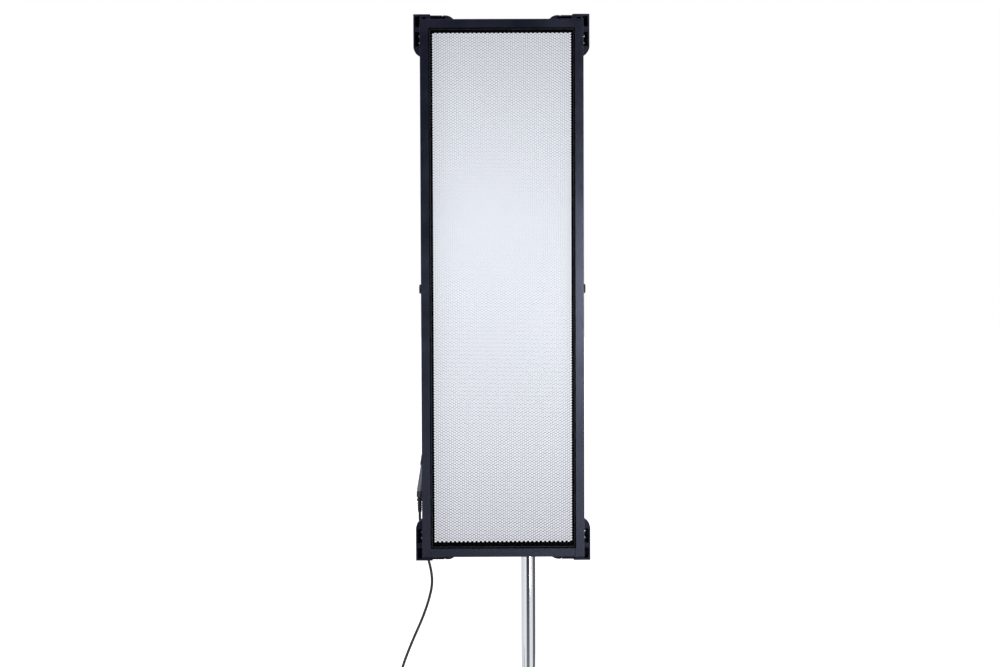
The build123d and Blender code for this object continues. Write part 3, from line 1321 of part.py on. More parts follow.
# ---- Write the pieces ------------------------------------------------------------------
def pieces():
    """Every piece by its node name."""
    return {
        "frame_stiles": make_frame_stiles(),
        "frame_rails": make_frame_rails(),
        "frame_corner_keys": make_frame_corner_keys(),
        "frame_screws": make_frame_screws(),
        "body_side_walls": make_body_side_walls(),
        "body_end_walls": make_body_end_walls(),
        "back_panel": make_back_panel(),
        "panel_screws": make_panel_screws(),
        "side_bosses": make_side_bosses(),
        "diffuser_retainer": make_diffuser_retainer(),
        "diffuser_sheet": make_diffuser_sheet(),
        "reflector_walls": make_reflector_walls(),
        "led_boards": make_led_boards(),
        "heatsink_plate": make_heatsink_plate(),
        "louver_border": make_louver_border(),
        "louver_core": make_louver_core(),
        "corner_bracket_top_left": make_corner_bracket(-1, 1),
        "corner_bracket_top_right": make_corner_bracket(1, 1),
        "corner_bracket_bottom_left": make_corner_bracket(-1, -1),
        "corner_bracket_bottom_right": make_corner_bracket(1, -1),
        "carry_handle_upper": make_carry_handle(HANDLE_UPPER_PLACE),
        "carry_handle_lower": make_carry_handle(HANDLE_LOWER_PLACE),
        "mount_plate": make_mount_plate(),
        "mount_screws": make_mount_screws(),
        "mount_receiver": make_mount_receiver(),
        "mount_lock_knob": make_mount_lock_knob(),
        "mount_stud": make_mount_stud(),
        "clamp_plate_inner": make_clamp_plate(1),
        "clamp_plate_outer": make_clamp_plate(-1),
        "tilt_handle": make_tilt_handle(),
        "head_body": make_head_body(),
        "head_lock_handle": make_head_lock_handle(),
        "riser_tube": make_riser_tube(),
        "column_tube": make_column_tube(),
        "column_collar": make_column_collar(),
        "collar_lock_knob": make_collar_lock_knob(),
        "foot_spigot": make_foot_spigot(),
        "controller_housing": make_controller_housing(),
        "controller_lid": make_controller_lid(),
        "control_board": make_control_board(),
        "power_supply": make_power_supply(),
        "display_window": make_display_window(),
        "encoder_pair": make_encoder_pair(),
        "dim_knob": make_knob(KNOB_PLACES[0]),
        "cct_knob": make_knob(KNOB_PLACES[1]),
        "menu_button": make_button(BUTTON_PLACES[0]),
        "mode_button": make_button(BUTTON_PLACES[1]),
        "preset_button": make_button(BUTTON_PLACES[2]),
        "power_rocker": make_power_rocker(),
        "dmx_sockets": make_dmx_sockets(),
        "lead_inlet": make_lead_inlet(),
        "lead_connector": make_lead_connector(),
        "connector_collar": make_connector_collar(),
        "cable_boot": make_cable_boot(),
        "lead_cord": make_lead_cord(),
        "lead_coil": make_lead_coil(),
        "coil_tie": make_coil_tie(),
        "lead_tail": make_lead_tail(),
        "lead_end_connector": make_lead_end_connector(),
    }


def write_pieces():
    os.makedirs("parts", exist_ok=True)
    for name, shape in pieces().items():
        solids = []
        for piece in shape if isinstance(shape, list) else [shape]:
            solids += piece.solids()
        node = Compound(children=solids) if len(solids) > 1 else solids[0]
        export_step(node, f"parts/{name}.step")


write_pieces()
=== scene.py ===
"""Tall LED soft light panel on its chrome column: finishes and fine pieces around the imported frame."""

import logging
import math
from collections.abc import Iterator
from contextlib import contextmanager
from dataclasses import dataclass, replace
from enum import Enum

import bpy
from mathutils import Matrix, Vector


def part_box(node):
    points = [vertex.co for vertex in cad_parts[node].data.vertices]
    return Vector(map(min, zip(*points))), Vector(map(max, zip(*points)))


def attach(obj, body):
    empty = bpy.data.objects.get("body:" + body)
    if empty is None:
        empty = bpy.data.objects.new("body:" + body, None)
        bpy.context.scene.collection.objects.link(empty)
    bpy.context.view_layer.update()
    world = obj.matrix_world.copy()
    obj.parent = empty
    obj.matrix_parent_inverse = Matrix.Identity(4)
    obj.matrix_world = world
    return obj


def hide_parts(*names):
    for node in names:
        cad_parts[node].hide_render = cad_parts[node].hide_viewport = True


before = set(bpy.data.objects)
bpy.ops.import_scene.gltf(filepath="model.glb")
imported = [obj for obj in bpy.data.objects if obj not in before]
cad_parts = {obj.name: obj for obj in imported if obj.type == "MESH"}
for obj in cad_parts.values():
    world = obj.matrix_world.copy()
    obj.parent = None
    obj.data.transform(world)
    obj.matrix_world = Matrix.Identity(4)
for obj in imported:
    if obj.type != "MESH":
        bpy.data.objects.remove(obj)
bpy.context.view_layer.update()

LOG = logging.getLogger("light_panel")
MM = 0.001
METRE_MM = 1000.0
# Most of a noise texture's values lie in this span.
NOISE_SPAN = (0.3, 0.7)
# How far the eased normal agrees with the true one where the edges' wear and painted highlight begin and where they
# are whole.
EDGE_SPAN = (0.995, 0.80)
# A wave texture draws this many bands where its scale says one.
BANDS_PER_SCALE = 20
# Size of the built-in face that gives figures of height 1.
TEXT_SIZE = 1.4

NodeTree = bpy.types.NodeTree
Node = bpy.types.Node
Socket = bpy.types.NodeSocket
Material = bpy.types.Material
Piece = bpy.types.Object
Triple = tuple[float, float, float]


class Slot(Enum):
    """Names of material slots for the lead, tie, foil, sockets, screws and boot."""

    CORD = "cord_black"
    TIE = "tie_fabric"
    FOIL = "louver_foil"
    SOCKET = "socket_metal"
    SCREW = "zinc_screws"
    BOOT = "boot_rubber"


class Axis(Enum):
    """The frame's axes, as unit vectors."""

    X = (1.0, 0.0, 0.0)
    Y = (0.0, 1.0, 0.0)
    Z = (0.0, 0.0, 1.0)


RIGHT, REAR, UP = (Vector(axis.value) for axis in Axis)


# ---- Node helpers ----------------------------------------------------------------------
def linear(hex_colour: str) -> tuple[float, float, float, float]:
    """Turn an sRGB hex colour, as "1a1c20", into linear red, green, blue and an alpha of 1."""
    shares = [int(hex_colour[i : i + 2], 16) / 255 for i in (0, 2, 4)]
    curved = [s / 12.92 if s <= 0.04045 else ((s + 0.055) / 1.055) ** 2.4 for s in shares]
    return (curved[0], curved[1], curved[2], 1.0)


def per_metre(size_mm: float) -> float:
    """Texture scale at which one cell of a pattern is size_mm across."""
    return 1.0 / (size_mm * MM)


def empty_tree(owner: Material | bpy.types.World) -> NodeTree:
    """Switch on a material's or world's nodes and clear them."""
    owner.use_nodes = True
    owner.node_tree.nodes.clear()
    return owner.node_tree


def add_node(tree: NodeTree, kind: str, settings: dict[str | int, object] | None = None) -> Node:
    """Add a node with its settings and links.

    Args:
        tree: the node tree that gets the node.
        kind: the node's type name without its "ShaderNode" prefix.
        settings: values by attribute name; by socket name or number, values or the outputs that feed them.

    Returns:
        The new node.
    """
    node = tree.nodes.new("ShaderNode" + kind)
    inputs = {}
    for key, value in (settings or {}).items():
        if isinstance(key, str) and hasattr(node, key):
            setattr(node, key, value)
        else:
            inputs[key] = value
    for key, value in inputs.items():
        if isinstance(value, Socket):
            tree.links.new(value, node.inputs[key])
        else:
            node.inputs[key].default_value = value
    return node


def maths(tree: NodeTree, operation: str, *terms: Socket | float, clamp: bool = False) -> Socket:
    """The result of one sum, whose terms are numbers or the outputs that feed them."""
    settings = {"operation": operation, "use_clamp": clamp, **dict(enumerate(terms))}
    return add_node(tree, "Math", settings).outputs[0]


def ramp(tree: NodeTree, value: Socket, start: float, end: float, first: float, last: float) -> Socket:
    """Map a value from start..end onto first..last, held at both ends."""
    return add_node(tree, "MapRange", {0: value, 1: start, 2: end, 3: first, 4: last}).outputs[0]


def noise(tree: NodeTree, place: Socket, size_mm: float, detail: float, roughness: float = 0.5) -> Socket:
    """Noise whose cells are size_mm across."""
    settings = {"Scale": per_metre(size_mm), "Detail": detail, "Roughness": roughness, "Vector": place}
    return add_node(tree, "TexNoise", settings).outputs["Fac"]


def mixed(tree: NodeTree, share: Socket, first: Socket | tuple, second: Socket | tuple) -> Socket:
    """Blend two colours by a share, 0 for the first."""
    return add_node(tree, "Mix", {"data_type": "RGBA", 0: share, 6: first, 7: second}).outputs[2]


def scaled(tree: NodeTree, place: Socket, scales: Triple) -> Socket:
    """Coordinates multiplied axis by axis."""
    return add_node(tree, "Mapping", {"Scale": scales, "Vector": place}).outputs["Vector"]


# ---- Mesh helpers ----------------------------------------------------------------------
def put(name: str, data: bpy.types.ID, place: Matrix | None = None) -> Piece:
    """Link new camera, lamp or curve data into the scene, in place."""
    item = bpy.data.objects.new(name, data)
    bpy.context.scene.collection.objects.link(item)
    item.matrix_world = place or Matrix()
    return item


def only(piece: Piece) -> None:
    """Make a piece the only selected object and the active one."""
    bpy.ops.object.select_all(action="DESELECT")
    piece.select_set(True)
    bpy.context.view_layer.objects.active = piece


def primitive(name: str, kind: str, **sizes: object) -> Piece:
    """Add a mesh primitive, such as a "cube", by its operator's own arguments, and select only it."""
    bpy.ops.object.select_all(action="DESELECT")
    getattr(bpy.ops.mesh, f"primitive_{kind}_add")(**sizes)
    piece = bpy.context.active_object
    piece.name = name
    piece.data.name = name
    return piece


def settle(piece: Piece, scale: Triple | Vector = (1.0, 1.0, 1.0)) -> None:
    """Scale a piece, then apply its place, turn and scale to its mesh."""
    piece.scale = scale
    only(piece)
    bpy.ops.object.transform_apply(location=True, rotation=True, scale=True)


def modify(piece: Piece, kind: str, **settings: object) -> None:
    """Add a modifier with its attributes, and apply it."""
    only(piece)
    modifier = piece.modifiers.new(kind.title(), kind)
    for key, value in settings.items():
        setattr(modifier, key, value)
    bpy.ops.object.modifier_apply(modifier=modifier.name)


def smooth(piece: Piece, degrees: float = 35.0) -> None:
    """Shade a piece smooth except at edges sharper than the angle."""
    only(piece)
    bpy.ops.object.shade_smooth_by_angle(angle=math.radians(degrees))


@contextmanager
def editing(piece: Piece, action: str = "SELECT") -> Iterator[None]:
    """Hold a piece in edit mode, with all of it selected or, for "DESELECT", none of it."""
    only(piece)
    bpy.ops.object.mode_set(mode="EDIT")
    bpy.ops.mesh.select_all(action=action)
    yield
    bpy.ops.object.mode_set(mode="OBJECT")


def join(name: str, pieces: list[Piece]) -> Piece:
    """Join pieces into the first one, under a new name."""
    only(pieces[0])
    for piece in pieces:
        piece.select_set(True)
    bpy.ops.object.join()
    pieces[0].name = name
    pieces[0].data.name = name
    return pieces[0]


def merge(piece: Piece, distance: float = 1e-6) -> None:
    """Merge a piece's double points and turn its faces outwards."""
    with editing(piece):
        bpy.ops.mesh.remove_doubles(threshold=distance)
        bpy.ops.mesh.normals_make_consistent(inside=False)


def lathe(name: str, outline: list[tuple[float, float]], start: Vector, along: Vector, turns: int = 32) -> Piece:
    """Turn an outline about an axis.

    Args:
        name: the piece's name.
        outline: distance along the axis and radius of each point, in millimetres.
        start: the point of the axis that the distances count from, in metres.
        along: the axis, as a unit vector.
        turns: how many faces go round.

    Returns:
        The turned piece, in place.
    """
    last = len(outline) - 1
    piece = primitive(name, "grid", x_subdivisions=last, y_subdivisions=turns, size=1.0)
    side = along.orthogonal().normalized()
    other = along.cross(side)
    for vertex in piece.data.vertices:
        distance, radius = outline[round((vertex.co.x + 0.5) * last)]
        angle = 2 * math.pi * (vertex.co.y + 0.5)
        spoke = side * math.cos(angle) + other * math.sin(angle)
        vertex.co = start + (along * distance + spoke * radius) * MM
    merge(piece)
    smooth(piece)
    return piece


def block(name: str, low: Vector, high: Vector, edge: float = 0.0) -> Piece:
    """Make a box between two corners, with its edges rounded to a radius; all in metres."""
    piece = primitive(name, "cube", size=1.0, location=(low + high) / 2)
    settle(piece, high - low)
    if edge:
        modify(piece, "BEVEL", width=edge, segments=2)
        smooth(piece)
    return piece


def around(centre: Vector, low: Triple, high: Triple) -> Piece:
    """Make a sharp box whose corners are given from a centre, in metres."""
    return block("box", centre + Vector(low), centre + Vector(high))


def turned(piece: Piece, angle: float, about: Vector, axis: Axis) -> Piece:
    """Turn a piece's mesh about a point, by an angle in radians."""
    turn = Matrix.Rotation(angle, 4, axis.name)
    piece.data.transform(Matrix.Translation(about) @ turn @ Matrix.Translation(-about))
    return piece


def centre_of(name: str, y: float | None = None) -> Vector:
    """The centre of a CAD node's box, or the point of its middle line at the given y."""
    low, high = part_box(name)
    centre = (low + high) / 2
    if y is not None:
        centre.y = y
    return centre


def finish_piece(piece: Piece, finish: "Finish", body: str) -> Piece:
    """Give a piece its finish and body, and log it.

    Args:
        piece: the mesh or curve object, in place.
        finish: its finish.
        body: the CAD body that it rides on.

    Returns:
        The same piece.
    """
    piece.data.materials.clear()
    piece.data.materials.append(finish.material())
    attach(piece, body)
    LOG.info("%s rides on %s", piece.name, body)
    return piece


def dress(finish: "Finish", *names: str) -> None:
    """Give CAD nodes a finish."""
    material = finish.material()
    for name in names:
        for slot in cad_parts[name].material_slots:
            slot.material = material
        LOG.info("%s is %s", name, material.name)


# ---- Finishes --------------------------------------------------------------------------
@dataclass(frozen=True)
class Finish:
    """A surface finish: what it is, its colour and its gloss.

    The relief is a fine noise whose grain is given in millimetres, and the gloss wanders over patches.
    """

    name: str
    colour: str
    roughness: float
    metallic: float = 0.0
    specular: float = 0.5
    tint: str = "ffffff"
    grain_mm: float = 1.0
    relief_mm: float = 0.02
    patch_mm: float = 60.0
    gloss_change: float = 0.06
    tone_change: float = 0.12
    edge_mm: float = 0.5
    # Colour of the edges, part wear and part painted highlight; none if empty.
    edge_wear_and_highlight_colour: str = ""

    def material(self) -> Material:
        """Make the material, or return it if it is already made."""
        made = bpy.data.materials.get(self.name)
        if made is not None and made.get("dressed"):
            return made
        made = bpy.data.materials.new(self.name)
        made["dressed"] = True
        tree = empty_tree(made)
        place = add_node(tree, "TexCoord").outputs["Object"]
        look = {
            "Base Color": linear(self.colour),
            "Roughness": self.roughness,
            "Metallic": self.metallic,
            "Specular IOR Level": self.specular,
            "Specular Tint": linear(self.tint),
        }
        shader = add_node(tree, "BsdfPrincipled", look)
        self.pattern(tree, place, shader)
        add_node(tree, "OutputMaterial", {"Surface": shader.outputs["BSDF"]})
        return made

    def tones(self, tree: NodeTree, place: Socket, shader: Node, share: Socket | None = None) -> None:
        """Let the colour and the gloss wander over patches.

        Args:
            tree: the material's nodes.
            place: the coordinates to read.
            shader: the principled shader.
            share: how near an edge each spot is, from 0 to 1, for the edges' colour of wear and painted highlight.
        """
        patches = noise(tree, place, self.patch_mm, 4.0, 0.6)
        dull, change = self.roughness, self.gloss_change
        gloss = ramp(tree, patches, *NOISE_SPAN, dull - change, dull + change)
        tree.links.new(gloss, shader.inputs["Roughness"])
        base = linear(self.colour)[:3]
        darker = tuple(channel * (1 - self.tone_change) for channel in base) + (1.0,)
        lighter = tuple(min(channel * (1 + self.tone_change), 1.0) for channel in base) + (1.0,)
        tone = mixed(tree, patches, darker, lighter)
        if share is not None:
            tone = mixed(tree, share, tone, linear(self.edge_wear_and_highlight_colour))
        tree.links.new(tone, shader.inputs["Base Color"])

    def rounded(self, tree: NodeTree) -> Socket:
        """The normal with its sharp edges eased."""
        return add_node(tree, "Bevel", {"samples": 4, "Radius": self.edge_mm * MM}).outputs["Normal"]

    def edge_share(self, tree: NodeTree, normal: Socket) -> Socket:
        """How near an edge each spot is, from 0 to 1, by how far the eased normal leans."""
        flat = add_node(tree, "NewGeometry").outputs["Normal"]
        likeness = add_node(tree, "VectorMath", {"operation": "DOT_PRODUCT", 0: normal, 1: flat}).outputs["Value"]
        return ramp(tree, likeness, *EDGE_SPAN, 0.0, 1.0)

    def height(self, tree: NodeTree, place: Socket) -> Socket:
        """Fine grain."""
        return noise(tree, place, self.grain_mm, 2.0)

    def pattern(self, tree: NodeTree, place: Socket, shader: Node) -> None:
        """The height as bumps relief_mm high on a rounded normal, with wandering tone and gloss."""
        normal = self.rounded(tree)
        # Edges take a colour that is part wear, part painted highlight.
        self.tones(tree, place, shader, self.edge_share(tree, normal) if self.edge_wear_and_highlight_colour else None)
        relief = {"Strength": 1.0, "Distance": self.relief_mm * MM, "Normal": normal}
        bump = add_node(tree, "Bump", {**relief, "Height": self.height(tree, place)})
        tree.links.new(bump.outputs["Normal"], shader.inputs["Normal"])


@dataclass(frozen=True)
class PowderCoat(Finish):
    """Baked powder on aluminium: a soft orange-peel skin that thins at the edges, where its colour is part wear and
    part painted highlight.
    """

    peel_mm: float = 4.0
    grain_share: float = 0.35

    def height(self, tree: NodeTree, place: Socket) -> Socket:
        """Orange peel over fine grain."""
        peel = noise(tree, place, self.peel_mm, 1.0)
        grain = add_node(tree, "TexVoronoi", {"Scale": per_metre(self.grain_mm), "Vector": place})
        return maths(tree, "MULTIPLY_ADD", grain.outputs["Distance"], self.grain_share, peel)


@dataclass(frozen=True)
class PaintedShadeLipCoat(PowderCoat):
    """Powder coat whose window lip carries painted shade: a band masked matt black, so that no light grazes off it.
    """

    centre: tuple[float, float] = (0.0, 0.0)
    half_window: tuple[float, float] = (1.0, 1.0)
    lip_shade_mm: float = 2.2
    lip_shade_fade_mm: float = 0.6
    lip_shade_colour: str = "04060b"
    lip_shade_roughness: float = 0.9

    def pattern(self, tree: NodeTree, place: Socket, shader: Node) -> None:
        """The coat, with the lip's painted shade over its colour and gloss; near-black metal mirrors almost nothing.
        """
        super().pattern(tree, place, shader)
        apart = add_node(tree, "SeparateXYZ", {"Vector": place}).outputs
        reaches = []
        for axis, middle, half in zip("XZ", self.centre, self.half_window):
            span = maths(tree, "ABSOLUTE", maths(tree, "SUBTRACT", apart[axis], middle))
            reaches.append(maths(tree, "SUBTRACT", span, half))
        reach = maths(tree, "MAXIMUM", *reaches)
        # Painted shade: a band of the lip's width round the window turns black, dull and metallic.
        share = ramp(tree, reach, (self.lip_shade_mm - self.lip_shade_fade_mm) * MM, self.lip_shade_mm * MM, 1.0, 0.0)
        tone, gloss = (shader.inputs[key].links[0].from_socket for key in ("Base Color", "Roughness"))
        tree.links.new(mixed(tree, share, tone, linear(self.lip_shade_colour)), shader.inputs["Base Color"])
        masked = add_node(tree, "Mix", {0: share, 2: gloss, 3: self.lip_shade_roughness})
        tree.links.new(masked.outputs[0], shader.inputs["Roughness"])
        tree.links.new(share, shader.inputs["Metallic"])


@dataclass(frozen=True)
class DrawnMetal(Finish):
    """Extruded or brushed metal: fine lines that run along one axis."""

    along: Axis = Axis.Z
    line_mm: float = 1.2
    line_length_mm: float = 240.0

    def height(self, tree: NodeTree, place: Socket) -> Socket:
        """Long thin noise along the draw direction."""
        across, length = per_metre(self.line_mm), per_metre(self.line_length_mm)
        scales = tuple(length if share else across for share in self.along.value)
        return noise(tree, scaled(tree, place, scales), METRE_MM, 3.0)


@dataclass(frozen=True)
class TurnedMetal(Finish):
    """Lathe-turned metal: tool rings about an axis, stepped along it."""

    along: Axis = Axis.Z
    ring_mm: float = 1.6

    def height(self, tree: NodeTree, place: Socket) -> Socket:
        """Fine bands along the axis of turning."""
        scales = tuple(per_metre(self.ring_mm) * share for share in self.along.value)
        return noise(tree, scaled(tree, place, scales), METRE_MM, 2.0)


@dataclass(frozen=True)
class PlatedMetal(Finish):
    """Polished plating: nearly a mirror, with faint wipe marks in its gloss and no grain."""

    def pattern(self, tree: NodeTree, place: Socket, shader: Node) -> None:
        """Wipe marks only, drawn out upwards."""
        self.tones(tree, scaled(tree, place, (1.0, 1.0, 0.25)), shader)
        tree.links.new(self.rounded(tree), shader.inputs["Normal"])


@dataclass(frozen=True)
class Woven(Finish):
    """Woven nylon tape: ribs across and threads along."""

    rib_mm: float = 1.1
    waviness: float = 0.4
    fuzz: float = 0.4

    def pattern(self, tree: NodeTree, place: Socket, shader: Node) -> None:
        """Ribs from two crossed bands, and fuzz as sheen."""
        self.tones(tree, place, shader)
        scale = per_metre(self.rib_mm) / BANDS_PER_SCALE
        band = {"wave_type": "BANDS", "Scale": scale, "Distortion": self.waviness, "Vector": place}
        bands = [add_node(tree, "TexWave", {**band, "bands_direction": axis}).outputs["Fac"] for axis in "XY"]
        shader.inputs["Sheen Weight"].default_value = self.fuzz
        bump = add_node(tree, "Bump", {"Distance": self.relief_mm * MM, "Height": maths(tree, "MAXIMUM", *bands)})
        tree.links.new(bump.outputs["Normal"], shader.inputs["Normal"])


@dataclass(frozen=True)
class OpalAcrylic(Finish):
    """Opal acrylic lit from behind: an even glow that drops close to its edges and towards its ends.

    The drops and powers are those of the left, right, top and bottom sides.
    """

    glow: str = "f3f7ff"
    strength: float = 0.972
    faintest: float = 0.985
    drops: tuple[float, float, float, float] = (0.28, 0.07, 0.22, 0.19)
    powers: tuple[float, float, float, float] = (6.0, 6.0, 1.6, 2.4)
    centre: Triple = (0.0, 0.0, 0.0)
    half_height: float = 1.0
    half_width: float = 1.0

    def pattern(self, tree: NodeTree, place: Socket, shader: Node) -> None:
        """Emission by height and width, with the faint clouds of the LED boards behind."""
        apart = add_node(tree, "SeparateXYZ", {"Vector": place}).outputs
        level = ramp(tree, noise(tree, place, self.patch_mm, 1.0), *NOISE_SPAN, self.faintest, 1.0)
        wide, tall = self.half_width, self.half_height
        sides = (("X", 0, -wide), ("X", 0, wide), ("Z", 2, tall), ("Z", 2, -tall))
        for (axis, number, half), power, drop in zip(sides, self.powers, self.drops):
            offset = maths(tree, "SUBTRACT", apart[axis], self.centre[number])
            share = maths(tree, "DIVIDE", offset, half, clamp=True)
            kept = maths(tree, "MULTIPLY_ADD", maths(tree, "POWER", share, power), -drop, 1.0)
            level = maths(tree, "MULTIPLY", level, kept)
        shader.inputs["Emission Color"].default_value = linear(self.glow)
        tree.links.new(maths(tree, "MULTIPLY", level, self.strength), shader.inputs["Emission Strength"])


@dataclass(frozen=True)
class Glow(Finish):
    """Lit display segments."""

    strength: float = 1.0

    def pattern(self, tree: NodeTree, place: Socket, shader: Node) -> None:
        """A steady glow in the base colour."""
        shader.inputs["Emission Color"].default_value = linear(self.colour)
        shader.inputs["Emission Strength"].default_value = self.strength


# Powder-coated aluminium extrusion: satin, blue-black, a soft skin; paler edges of wear and painted highlight, and
# painted shade on the window lip.
FRAME_COAT = PaintedShadeLipCoat("powder_coated_extrusion", "0f1527", 0.36, specular=0.5, tint="dfe4ff", grain_mm=1.6,
                        relief_mm=0.012, tone_change=0.1, edge_mm=1.2, edge_wear_and_highlight_colour="20232e")
# The same powder on folded sheet, duller than the frame; paler edges of wear and painted highlight.
CASING_COAT = PowderCoat("powder_coated_sheet", "101116", 0.46, specular=0.45, grain_mm=2.2, relief_mm=0.07,
                         gloss_change=0.1, tone_change=0.2, edge_mm=0.6, edge_wear_and_highlight_colour="24262d")
# Dead matt paint inside the light's mouth, which gives back almost nothing.
MATT_PAINT = Finish("matt_black_paint", "090c16", 0.85, specular=0.2, grain_mm=2.0, relief_mm=0.03)
# Glass-filled nylon mouldings: spark-eroded skin, paler at the rims, part rubbed wear and part painted highlight.
BRACKET_NYLON = PowderCoat("moulded_glass_filled_nylon", "1f2336", 0.56, specular=0.2, tint="dfe4ff", grain_mm=1.4,
                           relief_mm=0.04, peel_mm=3.0, edge_mm=0.7, edge_wear_and_highlight_colour="23273a")
# Clear-anodised turned aluminium: satin silver with tool rings.
TURNED_ALUMINIUM = TurnedMetal("turned_anodised_aluminium", "b9bcc2", 0.32, metallic=1.0, relief_mm=0.01,
                               along=Axis.Y, tone_change=0.05)
# Milled aluminium, seen only through the vents.
MILLED_ALUMINIUM = DrawnMetal("milled_aluminium", "b4b7bc", 0.42, metallic=1.0, relief_mm=0.01, tone_change=0.06)
# Black oxide on steel screws: dark, a little glossy.
BLACK_OXIDE = Finish("black_oxide_steel", "1b1b1e", 0.38, metallic=0.8, grain_mm=1.0, relief_mm=0.005)
# Bright zinc on pan-head screws.
ZINC_PLATE = Finish("zinc_plated_steel", "aeb1b6", 0.34, metallic=1.0, grain_mm=1.5, relief_mm=0.004, edge_mm=0.3)
# Black anodised bosses, satin with a cool tint; paler edges of wear and painted highlight.
BLACK_ANODISE = Finish("black_anodised_aluminium", "1d1f25", 0.34, metallic=0.5, grain_mm=1.2, relief_mm=0.006,
                       edge_mm=0.5, edge_wear_and_highlight_colour="565a64")
# Satin black handle bars, with paler edges of wear and painted highlight.
HANDLE_COAT = PowderCoat("powder_coated_tube", "1a1b1e", 0.38, grain_mm=1.6, relief_mm=0.012, edge_mm=0.4,
                         edge_wear_and_highlight_colour="33353a")
# White lining of the light chamber.
WHITE_FOIL = Finish("white_reflector_sheet", "f1f1ee", 0.6, grain_mm=2.0, relief_mm=0.01, tone_change=0.02)
# White solder mask on the LED boards.
SOLDER_WHITE = Finish("white_solder_mask", "e9e9e2", 0.45, grain_mm=2.0, relief_mm=0.01, tone_change=0.03)
# Green solder mask on the control board.
SOLDER_GREEN = Finish("green_solder_mask", "12442a", 0.4, grain_mm=1.5, relief_mm=0.02, tone_change=0.15)
# Folded zinc-coated sheet of the power supply, with its spangle.
ZINC_SHEET = Finish("galvanised_sheet", "a9acb0", 0.4, metallic=1.0, grain_mm=6.0, relief_mm=0.01, patch_mm=14.0,
                    gloss_change=0.1)
# Smoked acrylic over the display: black and glossy.
SMOKED_ACRYLIC = Finish("smoked_acrylic", "07090c", 0.06, specular=0.5, grain_mm=20.0, relief_mm=0.0005,
                        gloss_change=0.02)
# Moulded knobs, fine matt skin, with paler edges of wear and painted highlight.
KNOB_PLASTIC = Finish("moulded_abs_knob", "151516", 0.42, grain_mm=0.8, relief_mm=0.02, edge_mm=0.5,
                      edge_wear_and_highlight_colour="2f3033")
# Silicone buttons: soft, dull, slightly paler.
SILICONE = Finish("silicone_rubber", "39393c", 0.62, specular=0.35, grain_mm=0.8, relief_mm=0.015, edge_mm=0.4)
# Glossy moulded rocker.
ROCKER_PLASTIC = Finish("polished_abs_rocker", "141416", 0.18, grain_mm=3.0, relief_mm=0.002, edge_mm=0.4)
# Nickel-plated die-cast sockets.
NICKEL_CAST = Finish("nickel_plated_die_cast", "9a9ca1", 0.35, metallic=1.0, grain_mm=1.5, relief_mm=0.01)
# Satin nickel on the lead's connector body: grey, broad highlights.
SATIN_NICKEL = TurnedMetal("satin_nickel_turning", "84878e", 0.42, metallic=0.75, relief_mm=0.008, ring_mm=1.2,
                           tone_change=0.06)
# Polished mouldings of the connector's collar and the end connector, with paler edges of wear and painted highlight.
CONNECTOR_PLASTIC = Finish("moulded_connector_plastic", "343842", 0.3, grain_mm=1.2, relief_mm=0.008, edge_mm=0.4,
                           edge_wear_and_highlight_colour="5b5f6a")
# Moulded boot, soft black.
BOOT_RUBBER = Finish("moulded_rubber_boot", "23262f", 0.5, specular=0.5, grain_mm=1.0, relief_mm=0.01)
# Extruded jacket of the lead: smooth, with a soft sheen.
CORD_JACKET = Finish("extruded_cord_jacket", "2c2d32", 0.42, specular=0.45, grain_mm=2.5, relief_mm=0.01,
                     tone_change=0.08, edge_mm=0.2)
# Hook and loop tape of the coil's tie.
LOOP_TAPE = Woven("woven_loop_tape", "17171a", 0.85, specular=0.2, relief_mm=0.15)
# Anodised louver border, matt.
LOUVER_ANODISE = Finish("matt_anodised_aluminium", "090d1a", 0.6, specular=0.25, grain_mm=1.5, relief_mm=0.01,
                        edge_mm=0.3)
# Honeycomb foil, black coated.
FOIL = Finish("black_coated_foil", "08090c", 0.9, specular=0.12, grain_mm=3.0, relief_mm=0.02, edge_mm=0.01)
# Die-cast aluminium of the clamp, head and collar: satin grey with a cast skin, paler edges of wear and painted
# highlight.
CAST_CLAMP = PowderCoat("satin_die_cast_aluminium", "8e9196", 0.4, metallic=0.9, grain_mm=1.5, relief_mm=0.02,
                        peel_mm=5.0, edge_mm=0.8, edge_wear_and_highlight_colour="c2c5ca")
# Nickel-plated steel bars and pins.
NICKEL_STEEL = PlatedMetal("nickel_plated_steel", "b3b5b8", 0.2, metallic=1.0, gloss_change=0.05, tone_change=0.04)
# Chrome tube: a mirror with faint wipe marks.
CHROME = PlatedMetal("polished_chrome_plate", "edeff5", 0.06, metallic=1.0, gloss_change=0.03, tone_change=0.02,
                     patch_mm=90.0)
# White print on dials.
WHITE_PRINT = Finish("white_pad_print", "d8dade", 0.5, grain_mm=1.0, relief_mm=0.002, tone_change=0.03, edge_mm=0.05)
# Gold-flashed contacts.
GOLD_CONTACT = Finish("gold_flashed_contact", "c9a45a", 0.3, metallic=1.0, grain_mm=1.0, relief_mm=0.002,
                      edge_mm=0.2)
# Grip sleeves: soft ribbed rubber.
GRIP_RUBBER = Finish("grip_sleeve_rubber", "19191b", 0.6, specular=0.4, grain_mm=0.9, relief_mm=0.03)
# Free-cutting brass of the threaded inserts.
BRASS = TurnedMetal("turned_brass", "b08d4f", 0.3, metallic=1.0, relief_mm=0.006, along=Axis.X, tone_change=0.06,
                    edge_mm=0.15)
# Display segments in pale blue.
SEGMENTS = Glow("lit_segments", "9fd4ff", 0.4, strength=1.6)

